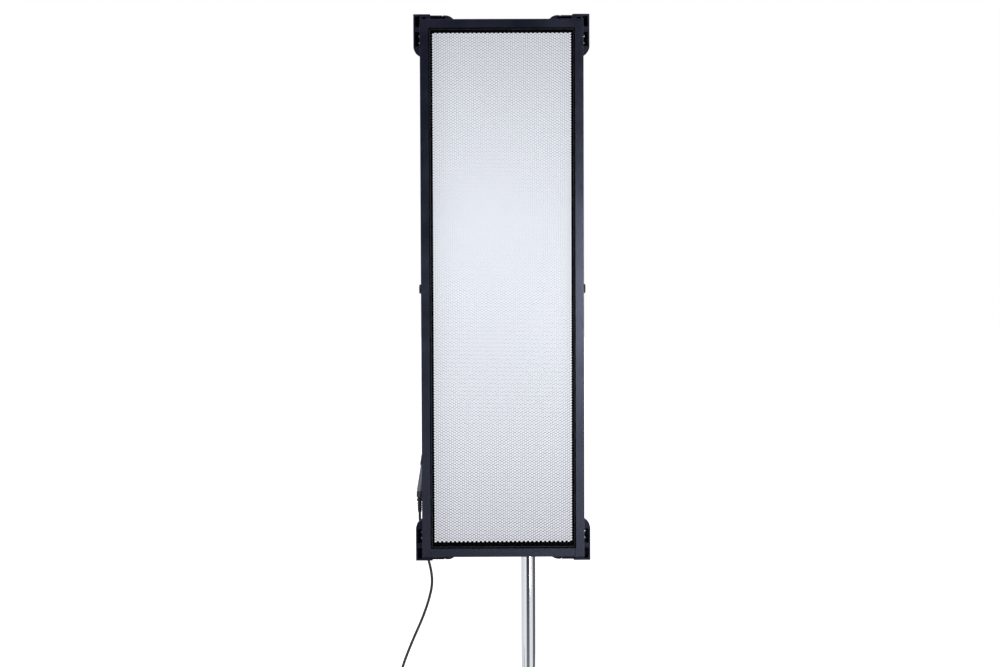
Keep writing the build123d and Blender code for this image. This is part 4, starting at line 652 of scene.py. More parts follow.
# ---- Studio ----------------------------------------------------------------------------
@dataclass
class Studio:
    """Camera, lamp, world, floor and the cards that the finishes reflect."""

    camera_place: Triple = (-0.10866, -5.70128, 1.14900)
    yaw: float = 0.00725
    pitch: float = -0.04602
    roll: float = -0.00357
    lens_mm: float = 83.952
    sensor_mm: float = 36.0
    sight: float = 200.0
    soft_light: float = 0.55
    lamp_place: Triple = (-1.5, -2.5, 3.6)
    lamp_aim: Triple = (0.0, 0.0, 0.9)
    lamp_side: float = 1.6
    lamp_power: float = 30.0
    floor_z: float = -0.0775
    floor_reach: float = 40.0
    floor_in_mirrors: float = 0.42
    far: float = 3.4
    far_height: float = 4.6
    front_lift: float = 0.35
    near: float = 0.6
    near_height: float = 0.36

    def camera(self) -> None:
        """Make the camera at the viewing place."""
        data = bpy.data.cameras.new("camera")
        data.lens = self.lens_mm
        data.sensor_width = self.sensor_mm
        data.clip_end = self.sight
        turn = Matrix.Rotation(-self.yaw, 4, "Z")
        tilt = Matrix.Rotation(math.pi / 2 + self.pitch, 4, "X")
        lean = Matrix.Rotation(self.roll, 4, "Z")
        bpy.context.scene.camera = put("camera", data, Matrix.Translation(self.camera_place) @ turn @ tilt @ lean)

    def background_level(self, tree: NodeTree, mirrored: float) -> Socket:
        """One for rays from the camera or through glass, the mirrored level for reflections, else 0."""
        rays = add_node(tree, "LightPath").outputs
        glossy = maths(tree, "MULTIPLY", rays["Is Glossy Ray"], mirrored)
        first = maths(tree, "MAXIMUM", rays["Is Camera Ray"], glossy)
        return maths(tree, "MAXIMUM", first, rays["Is Transmission Ray"])

    def world(self) -> None:
        """A white surround for the camera and reflections, and soft grey light for the rest."""
        world = bpy.data.worlds.new("studio")
        bpy.context.scene.world = world
        tree = empty_tree(world)
        soft = add_node(tree, "Background", {"Color": linear("dfe2e8"), "Strength": self.soft_light})
        white = add_node(tree, "Background", {"Color": linear("ffffff"), "Strength": 1.0})
        seen = {0: self.background_level(tree, 1.0), 1: soft.outputs[0], 2: white.outputs[0]}
        add_node(tree, "OutputWorld", {"Surface": add_node(tree, "MixShader", seen).outputs[0]})

    def floor(self) -> None:
        """A white floor that keeps the object's shadow."""
        floor = primitive("floor", "plane", size=1.0, location=(0.0, 0.0, self.floor_z))
        settle(floor, (self.floor_reach, self.floor_reach, 1.0))
        material = bpy.data.materials.new("white_floor_paper")
        tree = empty_tree(material)
        paper = add_node(tree, "BsdfDiffuse", {"Color": linear("ededee")})
        level = self.background_level(tree, self.floor_in_mirrors)
        lift = add_node(tree, "Emission", {"Color": linear("ffffff"), "Strength": level})
        both = add_node(tree, "AddShader", {0: paper.outputs[0], 1: lift.outputs[0]})
        add_node(tree, "OutputMaterial", {"Surface": both.outputs[0]})
        floor.data.materials.append(material)

    def lamp(self) -> None:
        """Add a soft square lamp above, to the left."""
        data = bpy.data.lights.new("top_soft_lamp", "AREA")
        data.shape = "RECTANGLE"
        data.size = data.size_y = self.lamp_side
        data.energy = self.lamp_power
        facing = (Vector(self.lamp_aim) - Vector(self.lamp_place)).to_track_quat("-Z", "Y")
        lamp = put("top_soft_lamp", data, Matrix.Translation(self.lamp_place) @ facing.to_matrix().to_4x4())
        lamp.visible_camera = False

    def card(
        self,
        name: str,
        place: Triple,
        width: float,
        height: float,
        turn: float = 0.0,
        level: float = 0.0,
        foot_level: float | None = None,
    ) -> None:
        """Stand a card that only reflections see.

        Args:
            name: the card's name.
            place: its centre.
            width: its width in metres.
            height: its height in metres.
            turn: its turn about the vertical, in radians.
            level: its brightness at the top, where the white surround is 1.
            foot_level: its brightness at the foot, if that differs.
        """
        card = primitive(name, "plane", size=1.0, location=place, rotation=(math.pi / 2, 0.0, turn))
        settle(card, (width, height, 1.0))
        material = bpy.data.materials.new(name)
        tree = empty_tree(material)
        paint = add_node(tree, "Emission", {"Color": linear("ffffff"), "Strength": level})
        if foot_level is not None:
            apart = add_node(tree, "SeparateXYZ", {"Vector": add_node(tree, "TexCoord").outputs["Object"]})
            low, high = place[2] - height / 2, place[2] + height / 2
            shade = ramp(tree, apart.outputs["Z"], low, high, foot_level, level)
            tree.links.new(shade, paint.inputs["Strength"])
        add_node(tree, "OutputMaterial", {"Surface": paint.outputs[0]})
        card.data.materials.append(material)
        for rays in ("camera", "diffuse", "shadow", "transmission"):
            setattr(card, f"visible_{rays}", False)

    def build(self) -> None:
        """Make everything around the object."""
        bpy.context.scene.view_settings.view_transform = "Standard"
        self.world()
        self.floor()
        self.lamp()
        far, tall, near, low, side = self.far, self.far_height, self.near, self.near_height, math.pi / 2
        middle = self.floor_z + tall / 2 + 0.01
        self.card("front_dark_card", (0.0, -far, middle + self.front_lift), 5.6, tall)
        self.card("front_foot_card", (0.0, 0.2 - far, self.floor_z + 0.55), 5.4, 1.1, 0.0, 0.0, 0.42)
        self.card("rear_dark_card", (0.0, far, middle), 2.2, tall)
        self.card("left_dark_card", (-far, 0.0, middle), 2.0, tall, side)
        self.card("right_dark_card", (far, 0.0, middle), 2.0, tall, side)
        foot = self.floor_z + low / 2 + 0.002
        self.card("low_front_card", (-0.079, -near, foot), 0.526, low, 0.0, 0.03, 0.2)
        self.card("low_right_card", (near, 1.41, foot), 3.17, low, side, 0.12, 0.15)
        self.card("low_left_card", (-near, 1.5, foot), 3.1, low, side, 0.74)
        self.card("low_rear_card", (0.05, 0.9, self.floor_z + 0.48), 0.42, 0.96, 0.0, 0.02, 0.3)
        self.card("right_strip_reflector", (0.36, -0.95, 0.95), 0.14, 0.42, 0.30, 40.0)
        self.card("right_tall_reflector", (1.15, -1.9, 0.80), 0.5, 1.9, 0.45, 13.0)
        self.card("right_low_reflector", (0.25, -2.4, 0.15), 0.62, 0.30, 0.1, 4.9)


# ---- Lead ------------------------------------------------------------------------------
@dataclass
class Lead:
    """The thin lead from its boot to its put-away coil, with the coil's tie."""

    diameter: float = 0.0065
    length: float = 1.765
    route: tuple[Triple, ...] = (
        (-0.26325, -0.0950, 0.45983),
        (-0.26320, -0.0950, 0.4250),
        (-0.2557, -0.0944, 0.3900),
        (-0.2459, -0.0934, 0.3550),
        (-0.2387, -0.0926, 0.3290),
        (-0.2345, -0.0922, 0.3030),
        (-0.2345, -0.0924, 0.2820),
        (-0.2391, -0.0930, 0.2590),
        (-0.2470, -0.0938, 0.2320),
        (-0.2603, -0.0946, 0.1964),
        (-0.2767, -0.0952, 0.1604),
        (-0.2919, -0.0956, 0.1243),
        (-0.3060, -0.0956, 0.0870),
        (-0.3147, -0.0964, 0.0530),
    )
    coil_centre: Triple = (-0.2865, -0.0950, 0.0250)
    coil_radius: float = 0.029
    turns: int = 7
    points_per_turn: int = 16
    tail: tuple[Triple, ...] = (
        (-0.3245, -0.0950, 0.0130),
        (-0.3190, -0.0950, 0.0015),
        (-0.3155, -0.0950, -0.0060),
        (-0.3155, -0.0950, -0.0130),
    )
    tie_width: float = 0.014
    tie_thickness: float = 0.0014
    boot_ribs: int = 4
    boot_pitch: float = 5.3
    boot_first_rib: float = 13.6
    boot_crest: float = 6.1
    boot_taper: float = 0.3
    strand_gap: float = 1.02
    change_turns: float = 0.2
    tie_radius: float = 0.0099
    tie_wraps: float = 1.15
    tie_lap_start: float = 0.98
    tie_lap_length: float = 0.12
    tie_lap_gap: float = 1.05
    tie_edge: float = 0.0003
    tie_steps: int = 40

    def strand_offsets(self) -> list[tuple[float, float]]:
        """Outward and rearward offsets of each strand in the coil's round section."""
        pitch = self.diameter * self.strand_gap
        angles = [math.radians(degrees) for degrees in (330, 270, 210, 150, 90, 30)]
        ring = [(pitch * math.cos(angle), pitch * math.sin(angle)) for angle in angles]
        return [*ring[:3], (0.0, 0.0), *ring[3:], (1.75 * pitch, 0.0)]

    def coil_points(self) -> list[Vector]:
        """Control points of the coil's turns; strands change place under the tie at the coil's top."""
        offsets = self.strand_offsets()
        # A quadratic spline stays inside its control points, so these stand a little further out.
        swell = 1.0 / (0.75 + 0.25 * math.cos(2 * math.pi / self.points_per_turn))
        centre = Vector(self.coil_centre)
        points = []
        for step in range(self.turns * self.points_per_turn + 1):
            angle = math.pi + 2 * math.pi * step / self.points_per_turn
            passes = (angle - math.pi / 2) / (2 * math.pi)
            number = round(passes)
            share = min(max((passes - number) / self.change_turns + 0.5, 0.0), 1.0)
            before = offsets[max(number - 1, 0)]
            after = offsets[min(number, len(offsets) - 1)]
            outward, rearward = (old * (1 - share) + new * share for old, new in zip(before, after))
            radius = (self.coil_radius + outward) * swell
            points.append(centre + Vector((radius * math.cos(angle), rearward, radius * math.sin(angle))))
        return points

    def cord(self) -> Piece:
        """Make the lead as one smooth curve."""
        data = bpy.data.curves.new("lead_jacket", "CURVE")
        data.dimensions = "3D"
        data.bevel_depth = self.diameter / 2
        data.bevel_resolution = 4
        data.use_fill_caps = True
        points = [Vector(p) for p in self.route] + self.coil_points() + [Vector(p) for p in self.tail]
        spline = data.splines.new("NURBS")
        spline.points.add(len(points) - 1)
        for point, place in zip(spline.points, points):
            point.co = (*place, 1.0)
        spline.order_u = 3
        spline.use_endpoint_u = True
        spline.resolution_u = 5
        cord = put("lead_jacket", data)
        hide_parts("lead_cord", "lead_coil", "lead_tail")
        return cord

    def tie(self) -> Piece:
        """Wrap the tie's tape round the coil's section, with its free end lapped over."""
        centre = Vector(self.coil_centre) + UP * self.coil_radius
        radius, steps, wraps = self.tie_radius + self.tie_thickness / 2, self.tie_steps, self.tie_wraps
        lapped = self.tie_thickness * self.tie_lap_gap
        points = []
        for step in range(steps + 1):
            angle = math.pi / 2 + 2 * math.pi * wraps * step / steps
            past = max(step / steps * wraps - self.tie_lap_start, 0.0)
            grown = min(radius + lapped * past / self.tie_lap_length, radius + lapped)
            points.append(centre + Vector((0.0, grown * math.cos(angle), grown * math.sin(angle))))
        tie = primitive("coil_tie_tape", "grid", x_subdivisions=6, y_subdivisions=steps, size=1.0)
        for vertex in tie.data.vertices:
            along = round((vertex.co.y + 0.5) * steps)
            vertex.co = points[along] + Vector((vertex.co.x * self.tie_width, 0.0, 0.0))
        modify(tie, "SOLIDIFY", thickness=self.tie_thickness, offset=0.0)
        modify(tie, "BEVEL", width=self.tie_edge, segments=2, limit_method="ANGLE")
        smooth(tie)
        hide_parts("coil_tie")
        return finish_piece(tie, LOOP_TAPE, "panel")

    def boot(self) -> Piece:
        """Mould the strain relief: a ring, then thin deep ribs on a slender neck."""
        low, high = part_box("cable_boot")
        top = Vector((self.route[0][0], self.route[0][1], high.z))
        length = (high.z - low.z) / MM
        outline = [(0.0, 5.6), (3.6, 5.4), (4.0, 6.6), (4.4, 7.0), (9.4, 6.8), (9.8, 6.4), (10.0, 4.7)]
        for number in range(self.boot_ribs):
            start = self.boot_first_rib + number * self.boot_pitch
            crest = self.boot_crest - number * self.boot_taper
            outline += [(start, 4.6), (start + 0.2, crest), (start + 2.4, crest - 0.1), (start + 2.7, 4.5)]
        outline += [(length - 0.8, 4.2), (length, 3.6), (length, 0.0)]
        boot = lathe("ribbed_boot", outline, top, -UP, 28)
        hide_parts("cable_boot")
        return finish_piece(boot, BOOT_RUBBER, "panel")

    def build(self) -> None:
        """Make the lead, its tie and boot, and its connectors' finishes."""
        cord = self.cord()
        tie = self.tie()
        boot = self.boot()
        finish_piece(cord, CORD_JACKET, "panel")
        dress(SATIN_NICKEL, "lead_connector")
        dress(CONNECTOR_PLASTIC, "connector_collar", "lead_end_connector")


# ---- Light face and louver ---------------------------------------------------------------
@dataclass
class Louver:
    """The honeycomb louver that pulls off the front: foil cells, and a black film behind its edge cells that paints
    shade into them.
    """

    column_pitch: float = 0.0051
    row_pitch: float = 0.0063
    foil: float = 0.00022
    film: float = 0.0003
    modules: int = 3
    # Widths of the painted shade film at the top, bottom and sides.
    top_shade_band: float = 0.0077
    bottom_shade_band: float = 0.0112
    side_shade_band: float = 0.0040

    def cells(self, name: str, number: int, low: Vector, high: Vector) -> Piece:
        """Lay flat hexagons over one of the core's modules.

        Args:
            name: the sheet's name.
            number: the module's place from the bottom, from 0.
            low: the core's lowest corner.
            high: the core's highest corner.

        Returns:
            A flat sheet of merged hexagons at the core's front.
        """
        columns = math.ceil((high.x - low.x) / self.column_pitch / 2) + 1
        rows = math.ceil((high.z - low.z) / self.row_pitch / self.modules) + 1
        first_x = (low.x + high.x) / 2 - (columns - 0.5) * self.column_pitch
        top_open = high.z - self.top_shade_band
        below = math.ceil((top_open - low.z) / self.row_pitch) + 1
        first_z = top_open - (below + 0.25) * self.row_pitch + number * rows * self.row_pitch
        corner = Vector((first_x, low.y, first_z))
        hexagon = {"vertices": 6, "radius": 1.0, "fill_type": "NGON", "rotation": (math.pi / 2, math.pi / 6, 0.0)}
        sheet = primitive(name, "circle", **hexagon)
        settle(sheet)
        for vertex in sheet.data.vertices:
            across = vertex.co.x * self.column_pitch * 2 / 3
            up = vertex.co.z * self.row_pitch / math.sqrt(3)
            vertex.co = corner + Vector((across, 0.0, up))
        with editing(sheet):
            neighbour = {"value": (self.column_pitch, 0.0, self.row_pitch / 2)}
            bpy.ops.mesh.duplicate_move(TRANSFORM_OT_translate=neighbour)
        for count, step in ((columns, (2 * self.column_pitch, 0.0, 0.0)), (rows, (0.0, 0.0, self.row_pitch))):
            apart = {"use_relative_offset": False, "use_constant_offset": True, "constant_offset_displace": step}
            modify(sheet, "ARRAY", count=count, **apart)
        merge(sheet, self.foil / 4)
        return sheet

    def trim(self, sheet: Piece, low: Vector, high: Vector) -> None:
        """Cut a sheet off at the core's four sides."""
        with editing(sheet):
            for corner, direction in ((low, -RIGHT), (high, RIGHT), (low, -UP), (high, UP)):
                bpy.ops.mesh.select_all(action="SELECT")
                bpy.ops.mesh.bisect(plane_co=corner, plane_no=direction, clear_outer=True)

    def core(self, number: int, low: Vector, high: Vector) -> Piece:
        """Fold the foil of one module: the cells' outlines, drawn out to the core's depth."""
        core = self.cells(f"louver_honeycomb_{number + 1}", number, low, high)
        self.trim(core, low, high)
        with editing(core):
            bpy.ops.mesh.inset(thickness=self.foil / 2, use_individual=True)
            bpy.ops.mesh.delete(type="FACE")
        modify(core, "SOLIDIFY", thickness=high.y - low.y, offset=-1.0)
        shift = low.y - min(vertex.co.y for vertex in core.data.vertices)
        core.data.transform(Matrix.Translation(REAR * shift))
        return core

    def edge_shade_film(self, number: int, low: Vector, high: Vector) -> Piece:
        """Close the cells near the core's edge with black film, cut along the cells' outlines: painted shade in the
        edge cells.
        """
        film = self.cells(f"edge_film_{number + 1}", number, low, high)
        left, right = low.x + self.side_shade_band, high.x - self.side_shade_band
        bottom, top = low.z + self.bottom_shade_band, high.z - self.top_shade_band
        with editing(film, "DESELECT"):
            pass  # Only the cells chosen below may stay selected.
        for cell in film.data.polygons:
            cell.select = left < cell.center.x < right and bottom < cell.center.z < top
        bpy.ops.object.mode_set(mode="EDIT")
        bpy.ops.mesh.delete(type="FACE")
        bpy.ops.object.mode_set(mode="OBJECT")
        self.trim(film, low, high)
        modify(film, "SOLIDIFY", thickness=self.film, offset=0.0)
        film.data.transform(Matrix.Translation(REAR * (high.y - low.y)))
        return film

    def build(self) -> None:
        """Replace the plain core, paint shade into its edge cells with film and dress the border."""
        low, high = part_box("louver_core")
        shade_films = []
        for number in range(self.modules):
            core = self.core(number, low, high)
            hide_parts("louver_core")
            finish_piece(core, FOIL, "louver")
            shade_films.append(self.edge_shade_film(number, low, high))
        # The edge film is painted shade: a black sheet behind the edge cells.
        finish_piece(join("louver_edge_film", shade_films), MATT_PAINT, "louver")
        dress(LOUVER_ANODISE, "louver_border")


@dataclass
class LightChamber:
    """The opal sheet, its retainer and what lies behind it."""

    def build(self) -> None:
        """Dress the chamber."""
        low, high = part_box("diffuser_sheet")
        half = (high - low) / 2
        reach = {"centre": tuple((low + high) / 2), "half_height": half.z, "half_width": half.x}
        dress(OpalAcrylic("lit_opal_acrylic", "8e9197", 0.35, patch_mm=180.0, **reach), "diffuser_sheet")
        dress(MATT_PAINT, "diffuser_retainer")
        dress(WHITE_FOIL, "reflector_walls")
        dress(SOLDER_WHITE, "led_boards")
        dress(MILLED_ALUMINIUM, "heatsink_plate")


@dataclass
class FrontFrame:
    """The four front extrusions, their butt joints and the threaded side bosses."""

    joint_width: float = 0.0005
    joint_proud: float = 0.00008
    joint_depth: float = 0.002
    joint_inset: float = 0.001
    insert_radius_mm: float = 5.6
    bore_radius_mm: float = 3.3
    thread_depth_mm: float = 0.55
    thread_pitch_mm: float = 1.6
    threads: int = 8

    def joints(self, low: Vector, high: Vector, width: float) -> Piece:
        """Draw the dark line of each butt joint between a rail and a stile.

        Args:
            low: the rails' lowest corner.
            high: the rails' highest corner.
            width: the extrusion's width.

        Returns:
            The four lines as one piece.
        """
        lines = []
        for x in (low.x, high.x):
            for z in (low.z, high.z - width):
                start = (x - self.joint_width / 2, low.y - self.joint_proud, z + self.joint_inset)
                end = (x + self.joint_width / 2, low.y + self.joint_depth, z + width - self.joint_inset)
                lines.append(block("joint", Vector(start), Vector(end)))
        return finish_piece(join("frame_joint_lines", lines), MATT_PAINT, "panel")

    def thread(self, name: str, face: Vector, inwards: Vector) -> Piece:
        """Cut-thread insert of one side boss: a plain rim, then crests and roots down the bore."""
        rim, root, crest = self.insert_radius_mm, self.bore_radius_mm, self.bore_radius_mm - self.thread_depth_mm
        outline = [(-0.15, rim), (-0.3, rim - 0.4), (-0.3, root + 0.5), (0.3, root)]
        for number in range(self.threads):
            start = 0.5 + number * self.thread_pitch_mm
            outline += [(start, root), (start + 0.5, crest), (start + 0.8, crest), (start + 1.3, root)]
        return finish_piece(lathe(name, outline, face, inwards, 28), BRASS, "panel")

    def build(self) -> None:
        """Dress the frame, draw its joints and thread the bosses."""
        low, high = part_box("frame_rails")
        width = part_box("frame_stiles")[1].x - high.x
        middle = ((low.x + high.x) / 2, (low.z + high.z) / 2)
        window = ((high.x - low.x) / 2, (high.z - low.z) / 2 - width)
        # The frame's window lip takes painted shade from the coat's mask.
        dress(replace(FRAME_COAT, centre=middle, half_window=window), "frame_stiles", "frame_rails")
        dress(MILLED_ALUMINIUM, "frame_corner_keys")
        dress(BLACK_OXIDE, "frame_screws")
        dress(BLACK_ANODISE, "side_bosses")
        self.joints(low, high, width)
        (left, _, _), (right, _, _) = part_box("side_bosses")
        centre = centre_of("side_bosses")
        self.thread("left_boss_thread", Vector((left, centre.y, centre.z)), RIGHT)
        self.thread("right_boss_thread", Vector((right, centre.y, centre.z)), -RIGHT)


@dataclass
class Casing:
    """Walls, back panel, corner protectors with their screws, and the two carry handles."""

    protectors: tuple[str, ...] = ("top_left", "top_right", "bottom_left", "bottom_right")
    wall: float = 0.003
    screw_places: tuple[float, float] = (0.052, 0.068)
    left_head_mm: float = 4.8
    right_head_mm: float = 5.3
    ribs: int = 6
    first_rib: float = 0.0045
    rib_pitch: float = 0.0048
    rib_width: float = 0.0022
    rib_rise: float = 0.0006
    rib_reach: tuple[float, float] = (0.004, 0.036)
    sleeve_length_mm: float = 74.0
    sleeve_radius_mm: float = 7.3
    bar_radius_mm: float = 6.0
    sleeve_rib_pitch_mm: float = 4.6

    def bracket_screws(self) -> None:
        """Domed heads over the protectors' side screws."""
        wall_low, wall_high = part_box("body_side_walls")
        heads = []
        for name in self.protectors:
            low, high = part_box(f"corner_bracket_{name}")
            left = name.endswith("left")
            rise = self.left_head_mm if left else self.right_head_mm
            start = wall_low.x - self.wall if left else wall_high.x + self.wall
            outline = [(0.0, 3.9), (rise * 0.55, 3.9), (rise * 0.8, 3.2), (rise * 0.95, 1.9), (rise, 1.2)]
            outline += [(rise * 0.8, 1.1), (rise * 0.8, 0.0)]
            for place in self.screw_places:
                z = high.z - place if name.startswith("top") else low.z + place
                where = Vector((start, (low.y + high.y) / 2, z))
                heads.append(lathe("head", outline, where, -RIGHT if left else RIGHT, 14))
        finish_piece(join("bracket_screw_heads", heads), ZINC_PLATE, "panel")

    def ribbed_webs(self, name: str) -> None:
        """Rubbing ribs on one protector's end lip, where it meets the ground."""
        low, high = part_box(name)
        near, far = self.rib_reach
        x0, x1 = (low.x + near, low.x + far) if name.endswith("left") else (high.x - far, high.x - near)
        z = high.z if "top" in name else low.z
        ribs = []
        for number in range(self.ribs):
            y = low.y + self.first_rib + number * self.rib_pitch
            start, end = (x0, y, z - self.rib_rise), (x1, y + self.rib_width, z + self.rib_rise)
            ribs.append(block("rib", Vector(start), Vector(end), 0.0004))
        finish_piece(join(f"{name}_ribs", ribs), BRACKET_NYLON, "panel")

    def sleeve(self, name: str) -> None:
        """Pull a ribbed rubber sleeve over one handle's bar."""
        bar, valley, half = self.bar_radius_mm, self.sleeve_radius_mm, self.sleeve_length_mm / 2
        outline = [(-half, bar), (-half, valley - 0.4), (-half + 0.6, valley)]
        count = int((self.sleeve_length_mm - 6.0) / self.sleeve_rib_pitch_mm)
        first = -count * self.sleeve_rib_pitch_mm / 2
        for number in range(count):
            start, crest = first + number * self.sleeve_rib_pitch_mm, valley + 0.7
            outline += [(start + 0.9, valley), (start + 1.4, crest), (start + 3.2, crest), (start + 3.7, valley)]
        outline += [(half - 0.6, valley), (half, valley - 0.4), (half, bar)]
        axis = centre_of(name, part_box(name)[1].y - bar * MM)
        finish_piece(lathe(f"{name}_sleeve", outline, axis, RIGHT, 28), GRIP_RUBBER, "panel")

    def build(self) -> None:
        """Dress the casing and add its fine pieces."""
        handles = ("carry_handle_upper", "carry_handle_lower")
        brackets = [f"corner_bracket_{place}" for place in self.protectors]
        dress(CASING_COAT, "body_side_walls", "body_end_walls", "back_panel", "mount_plate")
        dress(BRACKET_NYLON, *brackets)
        dress(HANDLE_COAT, *handles)
        dress(ZINC_PLATE, "panel_screws")
        dress(BLACK_OXIDE, "mount_screws")
        self.bracket_screws()
        for bracket in brackets:
            self.ribbed_webs(bracket)
        for handle in handles:
            self.sleeve(handle)


@dataclass
class Controller:
    """The rear controller: dials with their scales, display, buttons, rocker and sockets."""

    sweep: float = math.radians(270)
    ticks: int = 21
    long_tick_every: int = 4
    tick_radius: float = 0.0138
    tick_size: tuple[float, float] = (0.0022, 0.00022)
    long_tick_size: tuple[float, float] = (0.0034, 0.00035)
    number_radius: float = 0.0206
    number_height: float = 0.0034
    print_rise: float = 0.00012
    digit_height: float = 0.0105
    digit_width: float = 0.0058
    digit_gap: float = 0.0022
    figures: tuple[tuple[str, float], ...] = (("75", 0.0235), ("5600", 0.0015))
    stroke: float = 0.0011
    segment_gap: float = 0.12
    bezel_inset: float = 0.0030
    bezel_width: float = 0.0016
    bezel_rise: float = 0.0008
    dot_drop: float = 0.0098
    dot_pitch: float = 0.0022
    socket_inset: float = 0.013
    pin_circle: float = 0.0046
    pins: int = 5
    first_pin: float = math.radians(60)
    pin_sweep: float = math.radians(300)
    opening_angle: float = math.radians(7)

    def scale(self, knob: str, numbers: tuple[str, ...]) -> None:
        """Print one dial's scale on the lid.

        Args:
            knob: the knob's node and body.
            numbers: the numbers from the scale's start to its end.
        """
        centre = centre_of(knob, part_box("controller_lid")[1].y)
        marks = []
        for number in range(self.ticks):
            angle = self.sweep * (number / (self.ticks - 1) - 0.5)
            length, half = self.tick_size if number % self.long_tick_every else self.long_tick_size
            far = (half, self.print_rise, self.tick_radius + length)
            marks.append(turned(around(centre, (-half, 0.0, self.tick_radius), far), -angle, centre, Axis.Y))
        for number, text in enumerate(numbers):
            angle = self.sweep * (number / (len(numbers) - 1) - 0.5)
            spoke = Vector((-math.sin(angle), 0.0, math.cos(angle))) * self.number_radius
            marks.append(self.numeral(text, centre + REAR * (self.print_rise / 2) + spoke))
        finish_piece(join(f"{knob}_scale", marks), WHITE_PRINT, "panel")

    def numeral(self, text: str, place: Vector) -> Piece:
        """Print a plain number, read from behind the panel, with its front face's middle at a place."""
        bpy.ops.object.select_all(action="DESELECT")
        bpy.ops.object.text_add()
        piece = bpy.context.active_object
        piece.data.body = text
        piece.data.size = self.number_height * TEXT_SIZE
        piece.data.extrude = self.print_rise / 2
        piece.data.align_x = piece.data.align_y = "CENTER"
        piece.data.resolution_u = 2
        bpy.ops.object.convert(target="MESH")
        upright = Matrix.Rotation(math.pi, 4, "Z") @ Matrix.Rotation(math.pi / 2, 4, "X")
        piece.data.transform(Matrix.Translation(place) @ upright)
        return piece

    def knob_top(self, knob: str) -> None:
        """Give one knob a turned cap and a pointer line that turn with it."""
        centre = centre_of(knob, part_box(knob)[1].y)
        outline = [(-0.4, 8.0), (0.25, 8.0), (0.4, 7.7), (0.4, 6.6), (0.25, 6.4), (0.25, 3.6), (0.35, 3.4)]
        outline += [(0.35, 1.2), (0.2, 0.8), (0.2, 0.0)]
        finish_piece(lathe(f"{knob}_cap", outline, centre, REAR, 36), TURNED_ALUMINIUM, knob)
        top = around(centre, (-0.0004, -0.0002, 0.0052), (0.0004, 0.00055, 0.0100))
        side = around(centre, (-0.0004, -0.0085, 0.0095), (0.0004, -0.0012, 0.0112))
        finish_piece(join(f"{knob}_pointer", [top, side]), WHITE_PRINT, knob)

    def digits(self) -> None:
        """Light plain seven-segment figures on the display."""
        lit = {"0": "abcdef", "5": "acdfg", "6": "acdefg", "7": "abc"}
        w, h, t = self.digit_width / 2, self.digit_height / 2, self.stroke
        bars = {
            "a": (-w, h - t, w, h), "d": (-w, -h, w, -h + t), "g": (-w, -t / 2, w, t / 2),
            "b": (w - t, 0.0, w, h), "c": (w - t, -h, w, 0.0),
            "f": (-w, 0.0, -w + t, h), "e": (-w, -h, -w + t, 0.0),
        }
        gap = t * self.segment_gap
        middle = centre_of("display_window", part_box("display_window")[1].y)
        pieces = []
        for text, start in self.figures:
            for number, digit in enumerate(text):
                across = middle.x + start - number * (self.digit_width + self.digit_gap)
                for x0, z0, x1, z1 in (bars[name] for name in lit[digit]):
                    corner = Vector((across - x1 + gap, middle.y, middle.z + z0 + gap))
                    far = Vector((across - x0 - gap, middle.y + self.print_rise, middle.z + z1 - gap))
                    pieces.append(block("segment", corner, far))
        finish_piece(join("display_figures", pieces), SEGMENTS, "panel")

    def bezel(self) -> None:
        """Frame the display's opening with a thin raised lip."""
        low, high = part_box("display_window")
        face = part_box("controller_lid")[1].y
        inset, width = self.bezel_inset, self.bezel_width
        x0, x1, z0, z1 = low.x + inset, high.x - inset, low.z + inset, high.z - inset
        sides = [
            (x0 - width, z0 - width, x1 + width, z0), (x0 - width, z1, x1 + width, z1 + width),
            (x0 - width, z0, x0, z1), (x1, z0, x1 + width, z1),
        ]
        front, back = face - self.bezel_rise / 2, face + self.bezel_rise
        strips = [block("lip", Vector((a, front, b)), Vector((c, back, d)), 0.0003) for a, b, c, d in sides]
        finish_piece(join("display_bezel", strips), KNOB_PLASTIC, "panel")

    def button_marks(self) -> None:
        """Print one, two or three dots by each button and ring its hole."""
        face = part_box("controller_lid")[1].y
        rise = self.print_rise / MM
        marks = []
        for number, name in enumerate(("menu_button", "mode_button", "preset_button")):
            centre = centre_of(name, face)
            marks.append(lathe("ring", [(0.0, 6.9), (rise, 6.9), (rise, 6.5), (0.0, 6.5)], centre, REAR, 32))
            for dot in range(number + 1):
                place = Vector((centre.x + (dot - number / 2) * self.dot_pitch, face, centre.z - self.dot_drop))
                marks.append(lathe("dot", [(0.0, 0.65), (rise, 0.6), (rise, 0.0)], place, REAR, 12))
        finish_piece(join("button_marks", marks), WHITE_PRINT, "panel")

    def rocker_marks(self) -> None:
        """Mould the line and the ring into the rocker's two ends."""
        centre = centre_of("power_rocker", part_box("power_rocker")[1].y - 0.0013)
        bar = around(centre, (-0.0004, -0.0004, 0.0040), (0.0004, 0.00025, 0.0078))
        outline = [(-0.4, 1.7), (0.22, 1.7), (0.22, 1.1), (-0.4, 1.1)]
        ring = lathe("ring", outline, centre - UP * 0.0058, REAR, 24)
        marks = turned(join("rocker_marks", [bar, ring]), self.opening_angle, centre, Axis.X)
        finish_piece(marks, WHITE_PRINT, "power_rocker")

    def sockets(self) -> None:
        """Fill both control sockets with an insulator and its contacts."""
        low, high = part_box("dmx_sockets")
        inserts, contacts = [], []
        for x in (low.x + self.socket_inset, high.x - self.socket_inset):
            mouth = Vector((x, (low.y + high.y) / 2, low.z))
            outline = [(8.0, 7.95), (7.6, 7.6), (7.6, 0.9), (7.9, 0.6), (7.9, 0.0)]
            inserts.append(lathe("insulator", outline, mouth, UP, 32))
            for pin in range(self.pins):
                angle = self.first_pin + self.pin_sweep * pin / (self.pins - 1)
                place = mouth + Vector((math.cos(angle), math.sin(angle), 0.0)) * self.pin_circle
                contacts.append(lathe("pin", [(1.6, 0.0), (1.8, 0.45), (2.6, 0.8), (8.0, 0.8)], place, UP, 10))
        finish_piece(join("socket_insulators", inserts), KNOB_PLASTIC, "panel")
        finish_piece(join("socket_pins", contacts), GOLD_CONTACT, "panel")

